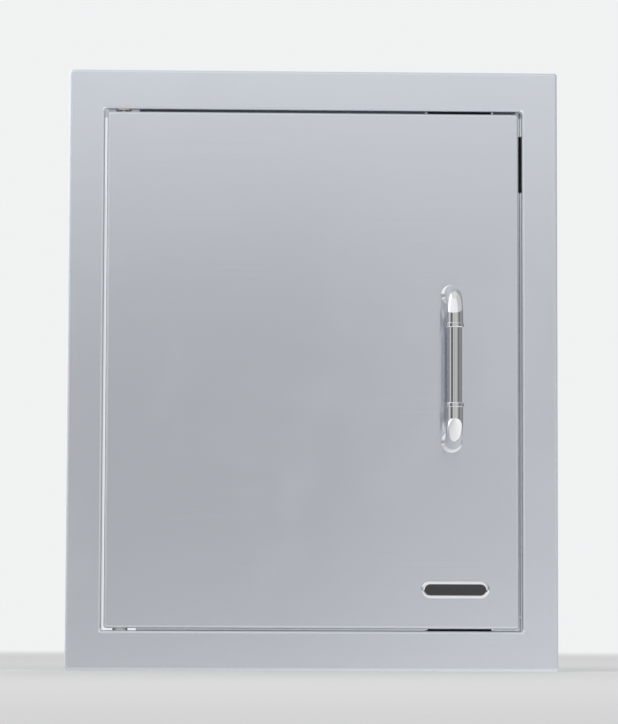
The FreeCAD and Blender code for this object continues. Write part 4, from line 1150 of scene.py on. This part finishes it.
def make_rivets():
    """The liner's domed rivets and the strikes' flush ones."""
    tree = rivet_tree()
    rivets = grown("liner_rivets_piece", liner_rivet_places(), tree, {"Grip": 1.8 * MM})
    settle(rivets, ["liner_rivets"], "fastener_steel")
    inset, sunk = 3.8 * MM, 0.28 * MM
    for end in ("top", "bottom"):
        low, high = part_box("strike_plate_" + end)
        middle = (low.z + high.z) / 2
        places = [(x, high.y - sunk, middle) for x in (low.x + inset, high.x - inset)]
        flush = grown("strike_rivets_%s_piece" % end, places, tree, {
            "Head radius": 2.7 * MM, "Head height": 0.26 * MM, "Grip": 2.52 * MM})
        settle(flush, ["strike_rivets_" + end], "fastener_steel")


def make_screws():
    """The catches' screws and the handle's, with cross recesses and threads."""
    tree = screw_tree()
    pitch = sizes().thread_pitch
    seat = 3.2 * MM
    for end, sign in (("top", 1), ("bottom", -1)):
        low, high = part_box("catch_case_" + end)
        z = low.z + seat if sign > 0 else high.z - seat
        turn = (math.pi, 0, 0) if sign > 0 else (0, 0, 0)
        screws = grown("catch_screws_%s_piece" % end, [(x, y, z) for x, y in catch_screw_places()], tree,
                       {"Turn": turn, "Pitch": pitch})
        settle(screws, ["catch_screws_" + end], "fastener_steel")
    seat_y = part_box("handle_washers")[1].y
    screws = grown("handle_screws_piece", [(GRIP_X, seat_y, z) for z in foot_places()], tree, {
        "Head radius": 3.9 * MM, "Head height": 2.4 * MM, "Shank radius": 2.0 * MM, "Length": 12 * MM,
        "Pitch": pitch * 0.8, "Turn": (math.radians(-90), 0, 0)})
    settle(screws, ["handle_screws"], "fastener_steel")


def make_spring():
    """The coil spring that holds the upper pin up, built at one length; the real one shortens as the pin is
    drawn down.
    """
    low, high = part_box("pin_spring")
    full = high.z - low.z
    wire = 0.4 * MM
    spring = grown("pin_spring_piece", [(PIVOT_X, PIVOT_Y, low.z + wire)], spring_tree(), {
        "Height": full - 2 * wire, "Wire radius": wire, "Turns": sizes().spring_turns})
    settle(spring, ["pin_spring"], "inner_steel", sharp=60)
    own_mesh(spring)


# Studio

def emission(tree, shade, strength=1.0):
    """An Emission shader's output."""
    return add(tree, "ShaderNodeEmission", inputs={"Color": shade, "Strength": strength}).outputs[0]


def mixed_shader(tree, share, first, second):
    """A shader between two others."""
    return add(tree, "ShaderNodeMixShader", inputs={0: share, 1: first, 2: second}).outputs[0]


def show(tree, surface):
    """Ends a stage material in a surface."""
    add(tree, "ShaderNodeOutputMaterial", inputs={"Surface": surface})


def make_world():
    """Pale surroundings for the eye, metal and glass, and a plain level of light for the rest."""
    world = bpy.data.worlds.new("Studio")
    bpy.context.scene.world = world
    world.use_nodes = True
    tree = world.node_tree
    tree.nodes.clear()
    rays = add(tree, "ShaderNodeLightPath")
    seen = maths(tree, "MAXIMUM", rays.outputs["Is Camera Ray"], rays.outputs["Is Transmission Ray"])
    seen = maths(tree, "MAXIMUM", seen, rays.outputs["Is Glossy Ray"])
    plain_level = 0.55
    pale = add(tree, "ShaderNodeBackground", inputs={"Color": (*colours().backdrop, 1), "Strength": 1.0})
    light = add(tree, "ShaderNodeBackground", inputs={"Color": (1, 1, 1, 1), "Strength": plain_level})
    mixed = mixed_shader(tree, seen, light.outputs[0], pale.outputs[0])
    add(tree, "ShaderNodeOutputWorld", inputs={"Surface": mixed})


def make_floor():
    """A pale floor that fades into the surroundings far from the door."""
    reach, drop = 9.0, 0.02 * MM
    fade_from, fade_to = 0.9, 4.5
    shell = bmesh.new()
    bmesh.ops.create_circle(shell, cap_ends=True, segments=96, radius=reach)
    floor = as_piece("studio_floor", shell)
    floor.data.transform(Matrix.Translation((0, 0, FLOOR_Z - drop)))
    made, tree = bare_material("studio_floor")
    place = object_place(tree)
    away = add(tree, "ShaderNodeVectorMath", {"operation": "LENGTH"}, {0: place}).outputs["Value"]
    speckle = add(tree, "ShaderNodeTexNoise", inputs={"Vector": place, "Scale": 220.0, "Detail": 2.0})
    tone = spread(tree, speckle.outputs["Fac"], 0.0, 1.0, 0.985, 1.01)
    ground = add(tree, "ShaderNodeBsdfDiffuse", inputs={"Color": tinted(tree, "floor", tone)}).outputs[0]
    far = emission(tree, (*colours().backdrop, 1))
    seen = mixed_shader(tree, spread(tree, away, fade_from, fade_to, smooth=True), ground, far)
    share = spread(tree, parts_of(tree, place)[0], -FLOOR_REACH, FLOOR_REACH)
    glow = glow_from(tree, share, FLOOR_SURROUNDINGS, FLOOR_REACH)
    shiny = add(tree, "ShaderNodeLightPath").outputs["Is Glossy Ray"]
    show(tree, mixed_shader(tree, shiny, seen, glow))
    floor.data.materials.append(made)


# What bright metal sees round the studio: (bearing in degrees, brightness), 0 towards the camera
SURROUNDINGS = [
    (-180, 0.75), (-164, 0.75), (-158, 1.6), (-113, 1.6), (-109, 0.3), (-85, 0.25), (-81, 0.85), (-65, 0.85),
    (-60, 0.2), (-28, 0.15), (-26, 0.75), (-15, 0.75), (-12, 0.575), (-8, 0.575), (1, 0.565), (7, 0.66),
    (14, 0.7), (30, 0.66), (40, 0.5), (46, 0.4), (54, 0.2), (66, 0.22), (74, 0.36), (110, 0.36),
    (140, 0.46), (180, 0.75),
]
UPPER_SURROUNDINGS = [
    (-180, 0.9), (-160, 1.0), (-150, 2.0), (-82, 2.0), (-64, 1.12), (0, 1.12), (12, 1.06), (35, 1.1),
    (50, 0.7), (150, 0.7), (180, 0.9),
]
BRIGHTEST = 2.0

# Between these shares of the cards' height the lower ring gives way to the upper, and the top fades out
UPPER_FROM = (0.166, 0.18)
FADES_OUT = (0.9, 1.0)

# What bright metal sees on the floor: (metres to the right, brightness)
FLOOR_SURROUNDINGS = [(-1.2, 1.9), (-0.8, 1.9), (-0.55, 0.8), (-0.35, 0.78), (0.45, 1.2)]
FLOOR_REACH = 1.2


def glow_from(tree, share, stops, reach=180):
    """The emission of cards or floor, from (place, brightness) with places up to a reach each way."""
    levels = [((place + reach) / (2 * reach), shade / BRIGHTEST) for place, shade in stops]
    return emission(tree, ramp(tree, share, levels), BRIGHTEST)


def make_reflectors():
    """A ring of light and dark cards that only shiny surfaces see."""
    radius, low, high = 1.5, FLOOR_Z, 3.3
    steps = 120
    posts = []
    shell = bmesh.new()
    for step in range(steps + 1):
        bearing = math.radians(-180 + 360 * step / steps)
        x, y = radius * math.sin(bearing), -radius * math.cos(bearing)
        posts.append((shell.verts.new((x, y, low)), shell.verts.new((x, y, high))))
    layer = shell.loops.layers.uv.new("round")
    for step in range(steps):
        here, following = posts[step], posts[step + 1]
        face = shell.faces.new((here[0], here[1], following[1], following[0]))
        for corner, spot in zip(face.loops, ((step, 0), (step, 1), (step + 1, 1), (step + 1, 0))):
            corner[layer].uv = (spot[0] / steps, spot[1])
    cards = as_piece("studio_cards", shell)
    made, tree = bare_material("studio_cards")
    spot = add(tree, "ShaderNodeUVMap", {"uv_map": "round"}).outputs[0]
    round_share, rise = parts_of(tree, spot)[:2]
    glow = mixed_shader(tree, spread(tree, rise, *UPPER_FROM, smooth=True),
                        glow_from(tree, round_share, SURROUNDINGS),
                        glow_from(tree, round_share, UPPER_SURROUNDINGS))
    clear = add(tree, "ShaderNodeBsdfTransparent").outputs[0]
    show(tree, mixed_shader(tree, spread(tree, rise, *FADES_OUT, smooth=True), glow, clear))
    cards.data.materials.append(made)
    for ray in ("camera", "diffuse", "shadow", "transmission", "volume_scatter"):
        setattr(cards, "visible_" + ray, False)


def softbox(name, place, aim, width, height, power):
    """A soft rectangular lamp."""
    lamp = bpy.data.lights.new(name, "AREA")
    lamp.shape = "RECTANGLE"
    lamp.size = width
    lamp.size_y = height
    lamp.energy = power
    held = bpy.data.objects.new(name, lamp)
    held.location = place
    held.rotation_euler = (Vector(aim) - Vector(place)).to_track_quat("-Z", "Y").to_euler()
    held.visible_camera = False
    held.visible_glossy = False
    bpy.context.scene.collection.objects.link(held)


def make_camera():
    """The camera at the photograph's place."""
    lens = bpy.data.cameras.new("camera")
    lens.lens = CAMERA_LENS
    lens.sensor_width = 36
    lens.sensor_fit = "AUTO"
    lens.clip_end = 60
    held = bpy.data.objects.new("camera", lens)
    held.location = CAMERA_PLACE
    held.rotation_euler = [math.radians(angle) for angle in CAMERA_TURN]
    bpy.context.scene.collection.objects.link(held)
    bpy.context.scene.camera = held


def make_studio():
    """Floor, surroundings, cards, lamps and camera."""
    make_world()
    make_floor()
    make_reflectors()
    centre = (0, 0, 0)
    softbox("lamp_key", (-0.9, -1.1, 1.5), centre, width=1.2, height=0.9, power=9)
    softbox("lamp_fill", (1.1, -1.0, 1.2), centre, width=0.9, height=0.9, power=4.5)
    softbox("lamp_back", (0.4, 1.5, 1.5), centre, width=1.4, height=0.9, power=6)
    make_camera()
    bpy.context.scene.view_settings.view_transform = "Standard"


# Operators

class DoorOperator:
    """What the door's operators share."""
    bl_options = {"REGISTER", "UNDO"}

    def execute(self, context):
        for job in self.jobs:
            job()
        return {"FINISHED"}


class DOOR_OT_face_frame(DoorOperator, bpy.types.Operator):
    """Build the one-piece face frame"""
    bl_idname = "access_door.face_frame"
    bl_label = "Face Frame"
    jobs = (make_face_frame,)


class DOOR_OT_stop_rails(DoorOperator, bpy.types.Operator):
    """Build the stop rails and the bumper"""
    bl_idname = "access_door.stop_rails"
    bl_label = "Stop Rails"
    jobs = (make_stop_rails,)


class DOOR_OT_catches(DoorOperator, bpy.types.Operator):
    """Build the magnetic catches and their strikes"""
    bl_idname = "access_door.catches"
    bl_label = "Catches"
    jobs = (make_catches, make_strikes)


class DOOR_OT_leaf(DoorOperator, bpy.types.Operator):
    """Build the leaf's face, liner and plugs"""
    bl_idname = "access_door.leaf"
    bl_label = "Leaf"
    jobs = (make_leaf_face, make_liner, make_plugs)


class DOOR_OT_handle(DoorOperator, bpy.types.Operator):
    """Build the pull handle"""
    bl_idname = "access_door.handle"
    bl_label = "Handle"
    jobs = (make_handle,)


class DOOR_OT_badge(DoorOperator, bpy.types.Operator):
    """Build the bare oval badge"""
    bl_idname = "access_door.badge"
    bl_label = "Badge"
    jobs = (make_badge,)


class DOOR_OT_pivots(DoorOperator, bpy.types.Operator):
    """Build the pivot pins, bushes and brackets"""
    bl_idname = "access_door.pivots"
    bl_label = "Pivots"
    jobs = (make_pivots,)


class DOOR_OT_rivets(DoorOperator, bpy.types.Operator):
    """Build every rivet"""
    bl_idname = "access_door.rivets"
    bl_label = "Rivets"
    jobs = (make_rivets,)


class DOOR_OT_screws(DoorOperator, bpy.types.Operator):
    """Build every screw"""
    bl_idname = "access_door.screws"
    bl_label = "Screws"
    jobs = (make_screws,)


class DOOR_OT_spring(DoorOperator, bpy.types.Operator):
    """Build the pivot pin's spring"""
    bl_idname = "access_door.spring"
    bl_label = "Spring"
    jobs = (make_spring,)


class DOOR_OT_studio(DoorOperator, bpy.types.Operator):
    """Build the floor, the light and the camera"""
    bl_idname = "access_door.studio"
    bl_label = "Studio"
    jobs = (make_studio,)


OPERATORS = (DOOR_OT_face_frame, DOOR_OT_stop_rails, DOOR_OT_catches, DOOR_OT_leaf, DOOR_OT_handle,
             DOOR_OT_badge, DOOR_OT_pivots, DOOR_OT_rivets, DOOR_OT_screws, DOOR_OT_spring, DOOR_OT_studio)


class DOOR_PT_panel(bpy.types.Panel):
    """Lists the door's pieces, sizes and colours"""
    bl_idname = "DOOR_PT_panel"
    bl_label = "Island Access Door"
    bl_space_type = "VIEW_3D"
    bl_region_type = "UI"
    bl_category = "Access Door"

    def draw(self, context):
        for maker in OPERATORS:
            self.layout.operator(maker.bl_idname)
        for owner in (sizes(), colours()):
            for name in type(owner).__annotations__:
                self.layout.prop(owner, name)


CLASSES = (DoorSizes, DoorColours, *OPERATORS, DOOR_PT_panel)


def register():
    for kind in CLASSES:
        bpy.utils.register_class(kind)
    bpy.types.Scene.access_door_sizes = PointerProperty(type=DoorSizes)
    bpy.types.Scene.access_door_colours = PointerProperty(type=DoorColours)


def unregister():
    del bpy.types.Scene.access_door_colours
    del bpy.types.Scene.access_door_sizes
    for kind in reversed(CLASSES):
        bpy.utils.unregister_class(kind)


def main():
    register()
    for maker in OPERATORS:
        category, name = maker.bl_idname.split(".")
        getattr(getattr(bpy.ops, category), name)()


if __name__ == "__main__":
    main()
